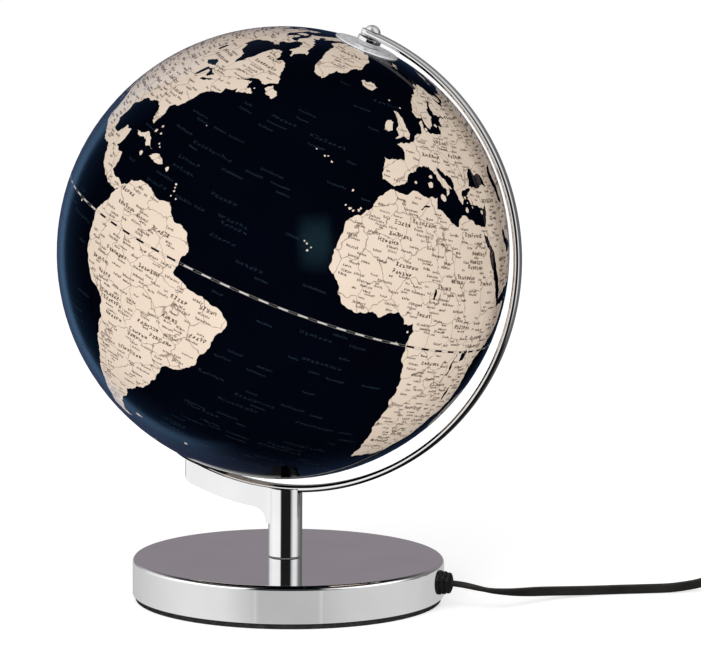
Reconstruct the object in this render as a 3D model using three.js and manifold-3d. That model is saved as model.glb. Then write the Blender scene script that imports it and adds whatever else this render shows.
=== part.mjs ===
// Illuminated desktop globe on a chrome stand with its mains cord. Millimetres, +Z up.
// The origin is the centre of the base's underside. The meridian, the bracket arm and the cord outlet
// all lie in the XZ plane, and the north pole leans towards +X.
import * as THREE from 'three';
import { mergeVertices } from 'three/addons/utils/BufferGeometryUtils.js';
import Module from 'manifold-3d';

const wasm = await Module();
wasm.setup();

// ---- driving dimensions ------------------------------------------------------------------------
const GAP = 0.3;

const GLOBE_R = 125;
const GLOBE_WALL = 2;
const GLOBE_CENTRE = new THREE.Vector3(-3.9, 0, 193.5);
const TILT = THREE.MathUtils.degToRad(22.5);
const NORTH_HOLE_R = 18.4;
const SOUTH_HOLE_R = 15;

const ARC_OUTER_R = 132.55;
const ARC_THICK = 3.7;
const ARC_WIDTH = 7.4;
const ARC_OFFSET = new THREE.Vector2(3.6, 0.6);
const ARC_EDGE_R = 1.2;
const ARC_START = THREE.MathUtils.degToRad(-2.6);
const ARC_END = THREE.MathUtils.degToRad(182.2);

const BASE_R = 87;
const BASE_TOP = 23.5;
const COVER_WALL = 1.5;
const COVER_EDGE_R = 2.5;
const PAD_R = 85.5;
const PAD_THICK = 2.8;
const PLATE_THICK = 1.2;
const WEIGHT_R = 66;
const WEIGHT_BOTTOM = 14.4;

const POLE_X = -2;
const POLE_R = 9.5;
const TIE_R = 5;
const TIE_BORE_R = 3;
const TIE_BOTTOM = 9;
const TIE_TOP = 52;
const TIE_WASHER_R = 13;
const TIE_NUT_R = 8.5;
const TIE_NUT_HEIGHT = 3;
const POLE_BORE_TOP = 57;

const ARM_HALF_WIDTH = 6;
const ARM_LEFT = -61.1;
const ARM_CORNER_R = 4.5;
const SADDLE_R = 130.45;
const TUNNEL_R = 2.2;

const OUTLET_Z = 14.7;
const OUTLET_HOLE_R = 5;
const GLAND_END_X = 95;
const CORD_R = 2.2;
const WIRE_R = 1;
const NIPPLE_R = 2.6;
const NIPPLE_BORE_R = 1.6;
const NIPPLE_HOLE_R = NIPPLE_R + GAP;

const SWITCH_CENTRE = new THREE.Vector3(262, 104, 7.8);
const SWITCH_LENGTH = 60;
const SWITCH_WIDTH = 24;
const SWITCH_HEIGHT = 15;
const SWITCH_CORNER_R = 8;
const ROCKER_POCKET = new THREE.Vector2(16.4, 11.4);
const ROCKER_WIDTH = 10.6;
const ROCKER_PIVOT_Z = 4.6;
const ROCKER_TILT = THREE.MathUtils.degToRad(8);
const COIL_CENTRE = new THREE.Vector2(336, 143);
const COIL_INNER_R = 21.4;
const COIL_OUTER_R = 34.4;
const COIL_BOTTOM = 1.4;
const COIL_HEIGHT = 11.2;
const PLUG_FACE_X = 238;
const PLUG_Y = 181;
const PLUG_Z = 7.3;
const PLUG_LENGTH = 36;
const PLUG_HALF_WIDTH = 17.5;
const PLUG_NECK_HALF_WIDTH = 6.5;
const PLUG_SHOULDER_X = 12;
const PLUG_HALF_HEIGHT = 6.8;
const PIN_R = 2;
const PIN_LENGTH = 19;
const PIN_SPACING = 18.6;
const RELIEF_LENGTH = 14;
const RELIEF_R = 3.8;

const TOP_PIN_R = 2.2;
const TOP_BORE_R = 2.6;
const DIAL_R = 18;
const DIAL_BOTTOM = 123.7;
const DIAL_TOP = 124.5;
const COLLAR_R = 5.2;
const COLLAR_RIM_R = 6.6;
const ARC_INNER_NORTH = 129.4;
const ARC_OUTER_NORTH = 133.1;
const DOME_R = 4.7;
const DOME_TOP = 136.5;

// ---- materials ---------------------------------------------------------------------------------
function material(color, roughness, metalness) {
  return new THREE.MeshStandardMaterial({ color, roughness, metalness });
}

const chrome = material('#d9dadc', 0.08, 1);
const steel = material('#a7a8aa', 0.35, 1);
const castIron = material('#4a4a4c', 0.8, 0.6);
const brass = material('#c2a04e', 0.3, 1);
const blackPlastic = material('#141416', 0.5, 0);
const blackFoam = material('#0f0f10', 0.9, 0);
const oceanPlastic = material('#03060d', 0.12, 0);
const dialPlastic = material('#e9e7ee', 0.35, 0.2);
const whitePorcelain = material('#ecebe6', 0.4, 0);
const cordVinyl = material('#28241f', 0.55, 0);
const bulbGlass = material('#f4f2ea', 0.1, 0);
bulbGlass.transparent = true;
bulbGlass.opacity = 0.35;

// ---- geometry helpers --------------------------------------------------------------------------
// A body of revolution about +Z. The profile lists [radius, height] pairs, counterclockwise.
function turned(profile, segments = 48) {
  const points = profile.map(([r, z]) => new THREE.Vector2(r, z));
  return new THREE.LatheGeometry(points, segments).rotateX(Math.PI / 2);
}

// A turned ring or washer: closed on itself, clear of the axis.
function turnedRing(inner, outer, bottom, top, segments = 48) {
  return turned([[inner, bottom], [outer, bottom], [outer, top], [inner, top], [inner, bottom]], segments);
}

function turnedDisc(radius, bottom, top, segments = 48) {
  return turned([[0, bottom], [radius, bottom], [radius, top], [0, top]], segments);
}

// Points of an arc in a turned profile, from angle a0 to a1 in degrees about [cr, cz].
function profileArc(cr, cz, radius, a0, a1, steps) {
  const points = [];
  for (let i = 0; i <= steps; i += 1) {
    const angle = THREE.MathUtils.degToRad(a0 + ((a1 - a0) * i) / steps);
    points.push([cr + radius * Math.cos(angle), cz + radius * Math.sin(angle)]);
  }
  return points;
}

// A shape drawn in the XZ plane, thickened symmetrically about y = 0.
function slabXZ(shape, width, curveSegments = 12) {
  const slab = new THREE.ExtrudeGeometry(shape, { depth: width, bevelEnabled: false, curveSegments });
  return slab.translate(0, 0, -width / 2).rotateX(Math.PI / 2);
}

function slabXY(shape, bottom, top, curveSegments = 8) {
  const slab = new THREE.ExtrudeGeometry(shape, { depth: top - bottom, bevelEnabled: false, curveSegments });
  return slab.translate(0, 0, bottom);
}

function roundedRectangle(length, width, radius) {
  const x = length / 2;
  const y = width / 2;
  const shape = new THREE.Shape();
  shape.moveTo(-x + radius, -y);
  shape.lineTo(x - radius, -y);
  shape.absarc(x - radius, -y + radius, radius, -Math.PI / 2, 0);
  shape.lineTo(x, y - radius);
  shape.absarc(x - radius, y - radius, radius, 0, Math.PI / 2);
  shape.lineTo(-x + radius, y);
  shape.absarc(-x + radius, y - radius, radius, Math.PI / 2, Math.PI);
  shape.lineTo(-x, -y + radius);
  shape.absarc(-x + radius, -y + radius, radius, Math.PI, Math.PI * 1.5);
  return shape;
}

// A round tube along a smooth curve through the given [x, y, z] points.
function tube(points, radius, sides, steps) {
  const section = new THREE.Shape();
  section.absarc(0, 0, radius, 0, Math.PI * 2);
  const knots = points.map((p) => new THREE.Vector3(...p));
  const extrudePath = new THREE.CatmullRomCurve3(knots, false, 'centripetal');
  return new THREE.ExtrudeGeometry(section, { steps, extrudePath, curveSegments: sides / 2 });
}

function rodAlongX(radius, x0, x1, y, z, segments = 24) {
  const rod = new THREE.CylinderGeometry(radius, radius, x1 - x0, segments);
  return rod.rotateZ(-Math.PI / 2).translate((x0 + x1) / 2, y, z);
}

function asSolid(geometry) {
  const bare = geometry.clone();
  bare.deleteAttribute('normal');
  bare.deleteAttribute('uv');
  const merged = mergeVertices(bare, 1e-4);
  const vertProperties = Float32Array.from(merged.attributes.position.array);
  const triVerts = Uint32Array.from(merged.index.array);
  return new wasm.Manifold(new wasm.Mesh({ numProp: 3, vertProperties, triVerts }));
}

function asGeometry(solid) {
  const mesh = solid.getMesh();
  const geometry = new THREE.BufferGeometry();
  geometry.setAttribute('position', new THREE.BufferAttribute(Float32Array.from(mesh.vertProperties), 3));
  geometry.setIndex(new THREE.BufferAttribute(Uint32Array.from(mesh.triVerts), 1));
  geometry.computeVertexNormals();
  return geometry;
}

function cut(geometry, ...tools) {
  return asGeometry(tools.reduce((solid, tool) => solid.subtract(asSolid(tool)), asSolid(geometry)));
}

function joined(...geometries) {
  return asGeometry(geometries.map(asSolid).reduce((sum, next) => sum.add(next)));
}

function common(a, b) {
  return asGeometry(asSolid(a).intersect(asSolid(b)));
}

function part(parent, name, geometry, surface) {
  const mesh = new THREE.Mesh(geometry, surface);
  mesh.name = name;
  parent.add(mesh);
  return mesh;
}

// ---- base --------------------------------------------------------------------------------------
function buildBase(parent) {
  part(parent, 'base_pad', turnedDisc(PAD_R, 0, PAD_THICK, 64), blackFoam);

  const plateBottom = PAD_THICK + GAP;
  const plateR = BASE_R - COVER_WALL - GAP - 0.2;
  part(parent, 'base_plate', turnedDisc(plateR, plateBottom, plateBottom + PLATE_THICK, 48), steel);

  const innerR = BASE_R - COVER_WALL;
  const innerTop = BASE_TOP - COVER_WALL;
  const shell = turned([
    [0, innerTop],
    [innerR - 1.5, innerTop],
    [innerR, innerTop - 1.5],
    [innerR, plateBottom],
    [BASE_R, plateBottom],
    ...profileArc(BASE_R - COVER_EDGE_R, BASE_TOP - COVER_EDGE_R, COVER_EDGE_R, 0, 90, 4),
    [0, BASE_TOP],
  ], 80);
  const tieHole = turnedDisc(TIE_R + GAP, innerTop - 1, BASE_TOP + 1, 32).translate(POLE_X, 0, 0);
  const outletHole = rodAlongX(OUTLET_HOLE_R, innerR - 5, BASE_R + 5, 0, OUTLET_Z, 24);
  part(parent, 'base_cover', cut(shell, tieHole, outletHole), chrome);

  const weightTop = innerTop - GAP;
  const weightHole = turnedDisc(TIE_R + GAP, WEIGHT_BOTTOM - 1, weightTop + 1, 32).translate(POLE_X, 0, 0);
  const weight = turnedDisc(WEIGHT_R, WEIGHT_BOTTOM, weightTop, 64);
  part(parent, 'base_weight', cut(weight, weightHole), castIron);
}

// The hollow rod that draws the pole and the weight together, with its washer and nut.
function buildTie(parent) {
  const tie = new THREE.Group();
  tie.position.x = POLE_X;
  parent.add(tie);
  part(tie, 'tie_tube', turnedRing(TIE_BORE_R, TIE_R, TIE_BOTTOM, TIE_TOP, 24), steel);
  const washer = turnedRing(TIE_R + GAP, TIE_WASHER_R, WEIGHT_BOTTOM - 1.5, WEIGHT_BOTTOM - GAP, 32);
  part(tie, 'tie_washer', washer, steel);
  const nutTop = WEIGHT_BOTTOM - 1.8;
  const hexagon = turnedDisc(TIE_NUT_R, nutTop - TIE_NUT_HEIGHT, nutTop, 6);
  const thread = turnedDisc(TIE_R + GAP, nutTop - 4, nutTop + 1, 24);
  part(tie, 'tie_nut', cut(hexagon, thread), steel);
}

// ---- pole and bracket arm, one chrome casting ----------------------------------------------------
// Local frame of the globe: Z along its axis, X square to it in the meridian plane.
function globePoint(across, along) {
  const x = GLOBE_CENTRE.x + across * Math.cos(TILT) + along * Math.sin(TILT);
  const z = GLOBE_CENTRE.z - across * Math.sin(TILT) + along * Math.cos(TILT);
  return [x, 0, z];
}

const [ARC_X, , ARC_Z] = globePoint(ARC_OFFSET.x, ARC_OFFSET.y);

function armOutline() {
  const right = POLE_X + POLE_R - 1.5;
  const angleAt = (x) => -Math.acos((x - ARC_X) / SADDLE_R);
  const outline = new THREE.Shape();
  outline.absarc(ARC_X, ARC_Z, SADDLE_R, angleAt(right), angleAt(ARM_LEFT), true);
  outline.lineTo(ARM_LEFT, 69);
  outline.quadraticCurveTo(ARM_LEFT, 63.6, -55.5, 61.8);
  outline.quadraticCurveTo(-36, 53.6, -14.2, 52);
  outline.quadraticCurveTo(POLE_X - POLE_R, 51.6, POLE_X - POLE_R, 46);
  outline.lineTo(POLE_X, 44);
  outline.lineTo(right, 46);
  return outline;
}

function armPlan() {
  const right = POLE_X + POLE_R + 1;
  const cornerX = ARM_LEFT + ARM_CORNER_R;
  const cornerY = ARM_HALF_WIDTH - ARM_CORNER_R;
  const plan = new THREE.Shape();
  plan.moveTo(right, -ARM_HALF_WIDTH);
  plan.lineTo(right, ARM_HALF_WIDTH);
  plan.lineTo(cornerX, ARM_HALF_WIDTH);
  plan.absarc(cornerX, cornerY, ARM_CORNER_R, Math.PI / 2, Math.PI);
  plan.absarc(cornerX, -cornerY, ARM_CORNER_R, Math.PI, Math.PI * 1.5);
  return plan;
}

// Middle of the passage for the lamp wire, from the pole's bore to the south pole.
const TUNNEL_ROUTE = [
  [POLE_X, 0, 54],
  [-6, 0, 56.2],
  [-20, 0, 57.6],
  [-35, 0, 60],
  [-46, 0, 63.2],
  globePoint(0, -139.5),
  globePoint(0, -136),
];

function axialRod(radius, from, to, segments) {
  return turnedDisc(radius, from, to, segments).rotateY(TILT).translate(...GLOBE_CENTRE.toArray());
}

function buildCasting(parent) {
  const arm = common(slabXZ(armOutline(), 40, 16), slabXY(armPlan(), 30, 90));
  const pole = turnedDisc(POLE_R, BASE_TOP + GAP, 66, 48).translate(POLE_X, 0, 0);
  const aboveSaddle = new THREE.CylinderGeometry(SADDLE_R, SADDLE_R, 60, 180).translate(ARC_X, 0, ARC_Z);
  const channelR = ARC_OUTER_R + GAP;
  const channelWidth = ARC_WIDTH + 2 * GAP;
  const channel = new THREE.CylinderGeometry(channelR, channelR, channelWidth, 180).translate(ARC_X, 0, ARC_Z);
  const bore = turnedDisc(TIE_R + GAP, BASE_TOP - 1, POLE_BORE_TOP, 32).translate(POLE_X, 0, 0);
  const tunnel = tube(TUNNEL_ROUTE, TUNNEL_R, 8, 24);
  const nippleHole = axialRod(NIPPLE_HOLE_R, -137.4, -128, 24);
  const body = joined(arm, pole);
  part(parent, 'bracket_casting', cut(body, aboveSaddle, channel, bore, tunnel, nippleHole), chrome);
}

// ---- parts on the globe's axis -------------------------------------------------------------------
// The path of the meridian's middle line, from just past the north pole round to the south pole.
class MeridianPath extends THREE.Curve {
  getPoint(t, target = new THREE.Vector3()) {
    const angle = ARC_START + (ARC_END - ARC_START) * t;
    const radius = ARC_OUTER_R - ARC_THICK / 2;
    return target.set(ARC_OFFSET.x + radius * Math.sin(angle), 0, ARC_OFFSET.y + radius * Math.cos(angle));
  }
}

// The half-round end of the meridian, as a disc as thick as the band.
function meridianEnd(angle) {
  const r = ARC_WIDTH / 2;
  const e = ARC_EDGE_R;
  const h = ARC_THICK / 2;
  const disc = turned([
    [0, -h],
    ...profileArc(r - e, -h + e, e, -90, 0, 2),
    ...profileArc(r - e, h - e, e, 0, 90, 2),
    [0, h],
  ], 24);
  const radius = ARC_OUTER_R - ARC_THICK / 2;
  disc.rotateY(angle);
  return disc.translate(ARC_OFFSET.x + radius * Math.sin(angle), 0, ARC_OFFSET.y + radius * Math.cos(angle));
}

function buildMeridian(parent) {
  const section = roundedRectangle(ARC_WIDTH, ARC_THICK, ARC_EDGE_R);
  const extrudePath = new MeridianPath();
  const band = new THREE.ExtrudeGeometry(section, { steps: 48, extrudePath, curveSegments: 1 });
  const northHole = turnedDisc(TOP_BORE_R, 126, 140, 20);
  const southHole = turnedDisc(NIPPLE_HOLE_R, -140, -124, 24);
  const whole = joined(band, meridianEnd(ARC_START), meridianEnd(ARC_END));
  part(parent, 'meridian_arc', cut(whole, northHole, southHole), chrome);
}

function buildNorthPole(parent) {
  const pinTop = DOME_TOP - 1.6;
  part(parent, 'top_pin', turnedDisc(TOP_PIN_R, 118, pinTop, 16), steel);

  const collarBottom = DIAL_TOP + GAP;
  const collarTop = ARC_INNER_NORTH - GAP;
  const rimBottom = collarTop - 2.2;
  part(parent, 'top_collar', turned([
    [TOP_BORE_R, collarBottom], [COLLAR_R, collarBottom], [COLLAR_R, rimBottom], [COLLAR_RIM_R, rimBottom],
    [COLLAR_RIM_R, collarTop],
    [TOP_BORE_R, collarTop], [TOP_BORE_R, collarBottom],
  ], 32), chrome);

  const nutBottom = ARC_OUTER_NORTH + GAP;
  const domeCentre = DOME_TOP - DOME_R;
  const domeStart = THREE.MathUtils.radToDeg(Math.asin((nutBottom - domeCentre) / DOME_R));
  const pocketTop = pinTop + GAP;
  part(parent, 'top_cap_nut', turned([
    [TOP_BORE_R, nutBottom],
    ...profileArc(0, domeCentre, DOME_R, domeStart, 80, 6),
    [0, DOME_TOP], [0, pocketTop], [TOP_BORE_R, pocketTop], [TOP_BORE_R, nutBottom],
  ], 20), chrome);
  part(parent, 'hour_dial', turnedRing(TOP_BORE_R, DIAL_R, DIAL_BOTTOM, DIAL_TOP, 48), dialPlastic);
}

function buildSouthPole(parent) {
  part(parent, 'south_collar', turnedRing(NIPPLE_HOLE_R, 7, -127.9, -126.8, 32), chrome);
  part(parent, 'lamp_nipple', turnedRing(NIPPLE_BORE_R, NIPPLE_R, -137, -112.5, 20), brass);
  part(parent, 'lamp_nut', turnedRing(NIPPLE_HOLE_R, 6, -118, -115.1, 16), brass);
  part(parent, 'lamp_holder', turned([
    [NIPPLE_HOLE_R, -114.7], [10.5, -114.7], [10.5, -88], [7.4, -88], [7.4, -111], [NIPPLE_HOLE_R, -111],
    [NIPPLE_HOLE_R, -114.7],
  ], 24), whitePorcelain);
  part(parent, 'bulb_cap', turned([
    [0, -104], [3, -104], [6.9, -101], [6.9, -85], [0, -85],
  ], 20), brass);
  part(parent, 'bulb_glass', turned([
    [6.5, -84.7], ...profileArc(0, -62, 17, -60, 90, 6),
    ...profileArc(0, -62, 16, 90, -60, 6), [5.5, -84.7], [6.5, -84.7],
  ], 20), bulbGlass);
}

// ---- globe ball ----------------------------------------------------------------------------------
function hemisphere(holeR) {
  const innerR = GLOBE_R - GLOBE_WALL;
  const holeAngleOuter = 90 - THREE.MathUtils.radToDeg(Math.asin(holeR / GLOBE_R));
  const holeAngleInner = 90 - THREE.MathUtils.radToDeg(Math.asin(holeR / innerR));
  const seam = THREE.MathUtils.radToDeg(GAP / 2 / GLOBE_R);
  const outer = profileArc(0, 0, GLOBE_R, seam, holeAngleOuter, 14);
  const inner = profileArc(0, 0, innerR, holeAngleInner, seam, 5);
  return turned([...outer, ...inner, outer[0]], 60);
}

function buildBall(parent) {
  part(parent, 'north_hemisphere', hemisphere(NORTH_HOLE_R), oceanPlastic);
  const south = hemisphere(SOUTH_HOLE_R).rotateX(Math.PI);
  part(parent, 'south_hemisphere', south, oceanPlastic);
  part(parent, 'equator_joint', turnedRing(120.2, 122, -6, 6, 60), whitePorcelain);
  const hubR = NORTH_HOLE_R - GAP;
  part(parent, 'north_bush', turned([
    [TOP_BORE_R, 119.3], [20.5, 119.3], [20.5, 120.7], [hubR, 120.7], [hubR, 123.4], [TOP_BORE_R, 123.4],
    [TOP_BORE_R, 119.3],
  ], 24), blackPlastic);
  part(parent, 'south_bush', turned([
    [NIPPLE_HOLE_R, -126.5], [17.5, -126.5], [17.5, -125.5], [14.6, -125.5], [14.6, -120.5],
    [NIPPLE_HOLE_R, -120.5], [NIPPLE_HOLE_R, -126.5],
  ], 32), blackPlastic);
}

// ---- cord ----------------------------------------------------------------------------------------
function buildCord(parent) {
  const glandProfile = [
    [0, 82.6], [5.8, 82.6], [5.8, 85.1], [4.6, 85.1], [4.6, 87.3], [6.75, 87.3], [6.75, 89.3], [5.2, 89.3],
    [5.2, 90.2], [6.4, 90.2], [6.4, 92], [4.9, 92], [4.9, 92.8], [5.8, 92.8], [5.8, 94.4], [4.4, GLAND_END_X],
    [0, GLAND_END_X],
  ];
  const gland = part(parent, 'cord_gland', turned(glandProfile, 20), blackPlastic);
  gland.position.z = OUTLET_Z;
  gland.rotation.y = Math.PI / 2;

  const switchLeft = SWITCH_CENTRE.x - SWITCH_LENGTH / 2 - GAP;
  const switchRight = SWITCH_CENTRE.x + SWITCH_LENGTH / 2 + GAP;
  part(parent, 'cord_lead', tube([
    [GLAND_END_X + GAP, 0, OUTLET_Z],
    [102, 0.2, 14.2],
    [109, 2.1, 12.7],
    [115.5, 6.2, 10.9],
    [121.5, 12.8, 9.4],
    [127, 21.2, 8],
    [132.7, 31.2, 6.7],
    [139, 42.3, 5.3],
    [147.3, 53.8, 3.9],
    [158, 64.5, 2.9],
    [172, 73.5, 2.7],
    [186, 81, 2.7],
    [199, 88, 2.9],
    [210, 94.6, 4.2],
    [219, 100.2, 6.2],
    [switchLeft - 4, 103.6, SWITCH_CENTRE.z],
    [switchLeft, 104, SWITCH_CENTRE.z],
  ], CORD_R, 8, 44), cordVinyl);

  const coilSide = COIL_OUTER_R + CORD_R + 2 * GAP;
  part(parent, 'cord_middle', tube([
    [switchRight, 104, SWITCH_CENTRE.z],
    [switchRight + 4, 104, SWITCH_CENTRE.z],
    [306, 104.2, 5.8],
    [317, 104.6, 4.3],
    [327, 105.2, 4.1],
    [COIL_CENTRE.x, COIL_CENTRE.y - coilSide, 4.2],
  ], CORD_R, 8, 12), cordVinyl);

  part(parent, 'cord_tail', tube([
    [COIL_CENTRE.x, COIL_CENTRE.y + coilSide, 9.6],
    [322, COIL_CENTRE.y + coilSide + 0.2, 9.4],
    [308, PLUG_Y - 0.3, 8.2],
    [298, PLUG_Y, PLUG_Z],
    [PLUG_FACE_X + PLUG_LENGTH + RELIEF_LENGTH + GAP, PLUG_Y, PLUG_Z],
  ], CORD_R, 8, 14), cordVinyl);

  const coil = turnedRing(COIL_INNER_R, COIL_OUTER_R, COIL_BOTTOM, COIL_BOTTOM + COIL_HEIGHT, 40);
  const coilMesh = part(parent, 'cord_coil', coil, cordVinyl);
  coilMesh.position.set(COIL_CENTRE.x, COIL_CENTRE.y, 0);
}

// The wire tie that holds the coiled turns together.
function buildCoilTie(parent) {
  const clearance = 0.5;
  const wall = 0.7;
  const inside = [COIL_OUTER_R - COIL_INNER_R + 2 * clearance, COIL_HEIGHT + 2 * clearance];
  const outline = roundedRectangle(inside[0] + 2 * wall, inside[1] + 2 * wall, 1.5);
  outline.holes.push(roundedRectangle(inside[0], inside[1], 0.8));
  const tie = new THREE.ExtrudeGeometry(outline, { depth: 4, bevelEnabled: false, curveSegments: 3 });
  const mesh = part(parent, 'coil_tie', tie.translate(0, 0, -2).rotateX(Math.PI / 2), blackPlastic);
  const middleR = (COIL_INNER_R + COIL_OUTER_R) / 2;
  mesh.position.set(COIL_CENTRE.x + middleR, COIL_CENTRE.y, COIL_BOTTOM + COIL_HEIGHT / 2);
}

function buildSwitch(parent) {
  const housing = new THREE.Group();
  housing.position.copy(SWITCH_CENTRE);
  parent.add(housing);
  const half = SWITCH_HEIGHT / 2;
  const plan = roundedRectangle(SWITCH_LENGTH, SWITCH_WIDTH, SWITCH_CORNER_R);
  part(housing, 'switch_lower', slabXY(plan, -half, -GAP / 2, 6), blackPlastic);
  const upper = slabXY(plan, GAP / 2, half, 6);
  const pocket = new THREE.BoxGeometry(ROCKER_POCKET.x, ROCKER_POCKET.y, 40);
  part(housing, 'switch_upper', cut(upper, pocket), blackPlastic);

  const rockerOutline = new THREE.Shape();
  rockerOutline.moveTo(-5.5, -3.2);
  rockerOutline.lineTo(5.5, -3.2);
  rockerOutline.lineTo(7.3, 4.6);
  rockerOutline.quadraticCurveTo(0, 3, -7.3, 4.6);
  const rocker = part(housing, 'switch_rocker', slabXZ(rockerOutline, ROCKER_WIDTH, 8), blackPlastic);
  rocker.position.z = ROCKER_PIVOT_Z;
  rocker.rotation.y = -ROCKER_TILT;
}

function buildPlug(parent) {
  const plug = new THREE.Group();
  plug.position.set(PLUG_FACE_X, PLUG_Y, PLUG_Z);
  parent.add(plug);
  const plan = new THREE.Shape();
  plan.moveTo(0, -PLUG_HALF_WIDTH);
  plan.lineTo(PLUG_SHOULDER_X, -PLUG_HALF_WIDTH);
  plan.lineTo(PLUG_LENGTH, -PLUG_NECK_HALF_WIDTH);
  plan.lineTo(PLUG_LENGTH, PLUG_NECK_HALF_WIDTH);
  plan.lineTo(PLUG_SHOULDER_X, PLUG_HALF_WIDTH);
  plan.lineTo(0, PLUG_HALF_WIDTH);
  part(plug, 'plug_body', slabXY(plan, -PLUG_HALF_HEIGHT, PLUG_HALF_HEIGHT, 4), blackPlastic);
  const relief = rodAlongX(RELIEF_R, PLUG_LENGTH + GAP, PLUG_LENGTH + RELIEF_LENGTH, 0, 0, 16);
  part(plug, 'plug_relief', relief, blackPlastic);
  for (const [name, side] of [['plug_pin_left', -1], ['plug_pin_right', 1]]) {
    const pin = rodAlongX(PIN_R, -PIN_LENGTH, -GAP, 0, 0, 16);
    part(plug, name, pin, brass).position.y = (side * PIN_SPACING) / 2;
  }
}

// The wire pair from the cord gland, up the tie tube and through the arm to the lamp holder.
function buildInnerWire(parent) {
  part(parent, 'lamp_wire', tube([
    [82.2, 0, OUTLET_Z], [74, 0, 9.5], [62, 0, 6.5], [30, 0, 6.2], [6, 0, 6.2], [POLE_X + 0.6, 0, 7.6],
    [POLE_X, 0, 12], [POLE_X, 0, 30], [POLE_X, 0, 48], ...TUNNEL_ROUTE.slice(1, 5),
    globePoint(0, -139.2), globePoint(0, -135.5), globePoint(0, -125), globePoint(0, -109),
  ], WIRE_R, 6, 56), whitePorcelain);
}

// ---- assembly ------------------------------------------------------------------------------------
const globeOnStand = new THREE.Group();
buildBase(globeOnStand);
buildTie(globeOnStand);
buildCasting(globeOnStand);

const axis = new THREE.Group();
axis.position.copy(GLOBE_CENTRE);
axis.rotation.y = TILT;
globeOnStand.add(axis);
buildMeridian(axis);
buildNorthPole(axis);
buildSouthPole(axis);
buildBall(axis);

buildInnerWire(globeOnStand);
buildCord(globeOnStand);
buildCoilTie(globeOnStand);
buildSwitch(globeOnStand);
buildPlug(globeOnStand);

export default globeOnStand;
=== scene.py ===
"""The finished look of an illuminated desktop globe on a chrome stand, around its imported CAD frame."""
import math
import random

import bmesh
import bpy
import numpy as np
from mathutils import Matrix, Vector
from mathutils.geometry import delaunay_2d_cdt


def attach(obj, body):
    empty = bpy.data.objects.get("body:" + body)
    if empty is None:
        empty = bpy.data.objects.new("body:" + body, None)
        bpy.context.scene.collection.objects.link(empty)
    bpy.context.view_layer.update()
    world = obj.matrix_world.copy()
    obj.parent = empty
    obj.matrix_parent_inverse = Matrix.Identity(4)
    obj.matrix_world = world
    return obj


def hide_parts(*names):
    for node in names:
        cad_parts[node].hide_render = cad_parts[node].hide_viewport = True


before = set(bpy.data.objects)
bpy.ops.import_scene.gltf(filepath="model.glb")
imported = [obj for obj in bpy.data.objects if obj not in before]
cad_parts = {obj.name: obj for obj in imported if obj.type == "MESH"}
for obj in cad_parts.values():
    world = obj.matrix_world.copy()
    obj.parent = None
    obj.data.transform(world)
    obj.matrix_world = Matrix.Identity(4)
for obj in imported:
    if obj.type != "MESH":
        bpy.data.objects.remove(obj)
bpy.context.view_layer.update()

MM = 0.001

# ---- driving sizes, in millimetres, as the CAD frame has them -----------------------------------------
GLOBE_R = 125.0
GLOBE_WALL = 2.0
GLOBE_CENTRE = Vector((-3.9, 0.0, 193.5))
TILT = math.radians(22.5)
NORTH_HOLE_R = 18.4
SOUTH_HOLE_R = 15.0
ZERO_MERIDIAN = math.radians(44.68)

ARC_OUTER_R = 132.55
ARC_THICK = 3.7
ARC_WIDTH = 7.4
ARC_EDGE_R = 1.55
ARC_OFFSET = (3.6, 0.6)
ARC_INNER_NORTH = 129.4
ARC_OUTER_NORTH = 133.1
TOP_BORE_R = 2.6
COLLAR_R = 5.2
COLLAR_RIM_R = 6.6
DOME_R = 4.7
DOME_TOP = 136.5
DIAL_R = 18.0
DIAL_BOTTOM = 123.7
DIAL_TOP = 124.5
ARC_START = math.radians(-2.6)
ARC_END = math.radians(182.2)
SADDLE_R = 130.45
NORTH_FLANGE_R = 20.5
NORTH_HUB_CLEARANCE = 0.35
GAP = 0.3

SOUTH_BORE_R = 2.9
SOUTH_WASHER_R = 7.0
SOUTH_FLANGE_R = 17.5
SOUTH_HUB_R = 14.6

BASE_R = 87.0
BASE_TOP = 23.5
BASE_BOTTOM = 3.1
COVER_WALL = 1.5
COVER_EDGE_R = 2.5
PAD_R = 85.5
PAD_THICK = 2.8

POLE_X = -2.0
POLE_R = 9.5
ARM_HALF_WIDTH = 6.0
ARM_LEFT = -61.1
ARM_CORNER_R = 4.5
ARM_EDGE_R = 0.8
NECK_FILLET_R = 5.0
POLE_SHOULDER_Z = 42.5

OUTLET_Z = 14.7
GLAND_END_X = 95.0
CORD_WIDTH = 5.4
CORD_THICK = 3.2
CORD_TUBE_R = 2.2
SWITCH_CENTRE = Vector((262.0, 104.0, 7.8))
SWITCH_LENGTH = 60.0
SWITCH_WIDTH = 24.0
SWITCH_HEIGHT = 15.0
ROCKER_TILT = math.radians(8)
COIL_CENTRE = Vector((336.0, 143.0))
COIL_INNER_R = 21.4
COIL_OUTER_R = 34.4
COIL_BOTTOM = 1.4
COIL_HEIGHT = 11.2
PLUG_FACE_X = 238.0
PLUG_Y = 181.0
PLUG_Z = 7.3
PLUG_LENGTH = 36.0
PLUG_HALF_WIDTH = 17.5
PLUG_NECK_HALF_WIDTH = 6.5
PLUG_HALF_HEIGHT = 6.8
RELIEF_LENGTH = 14.0
PIN_LENGTH = 19.0
PIN_SPACING = 18.6
PIN_R = 2.0
PIN_SLEEVE_LENGTH = 10.0

AXIS = Matrix.Translation(GLOBE_CENTRE) @ Matrix.Rotation(TILT, 4, "Y")
UPRIGHT = Matrix.Identity(4)
ALONG_X = Matrix.Rotation(math.pi / 2, 4, "Y")

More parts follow.
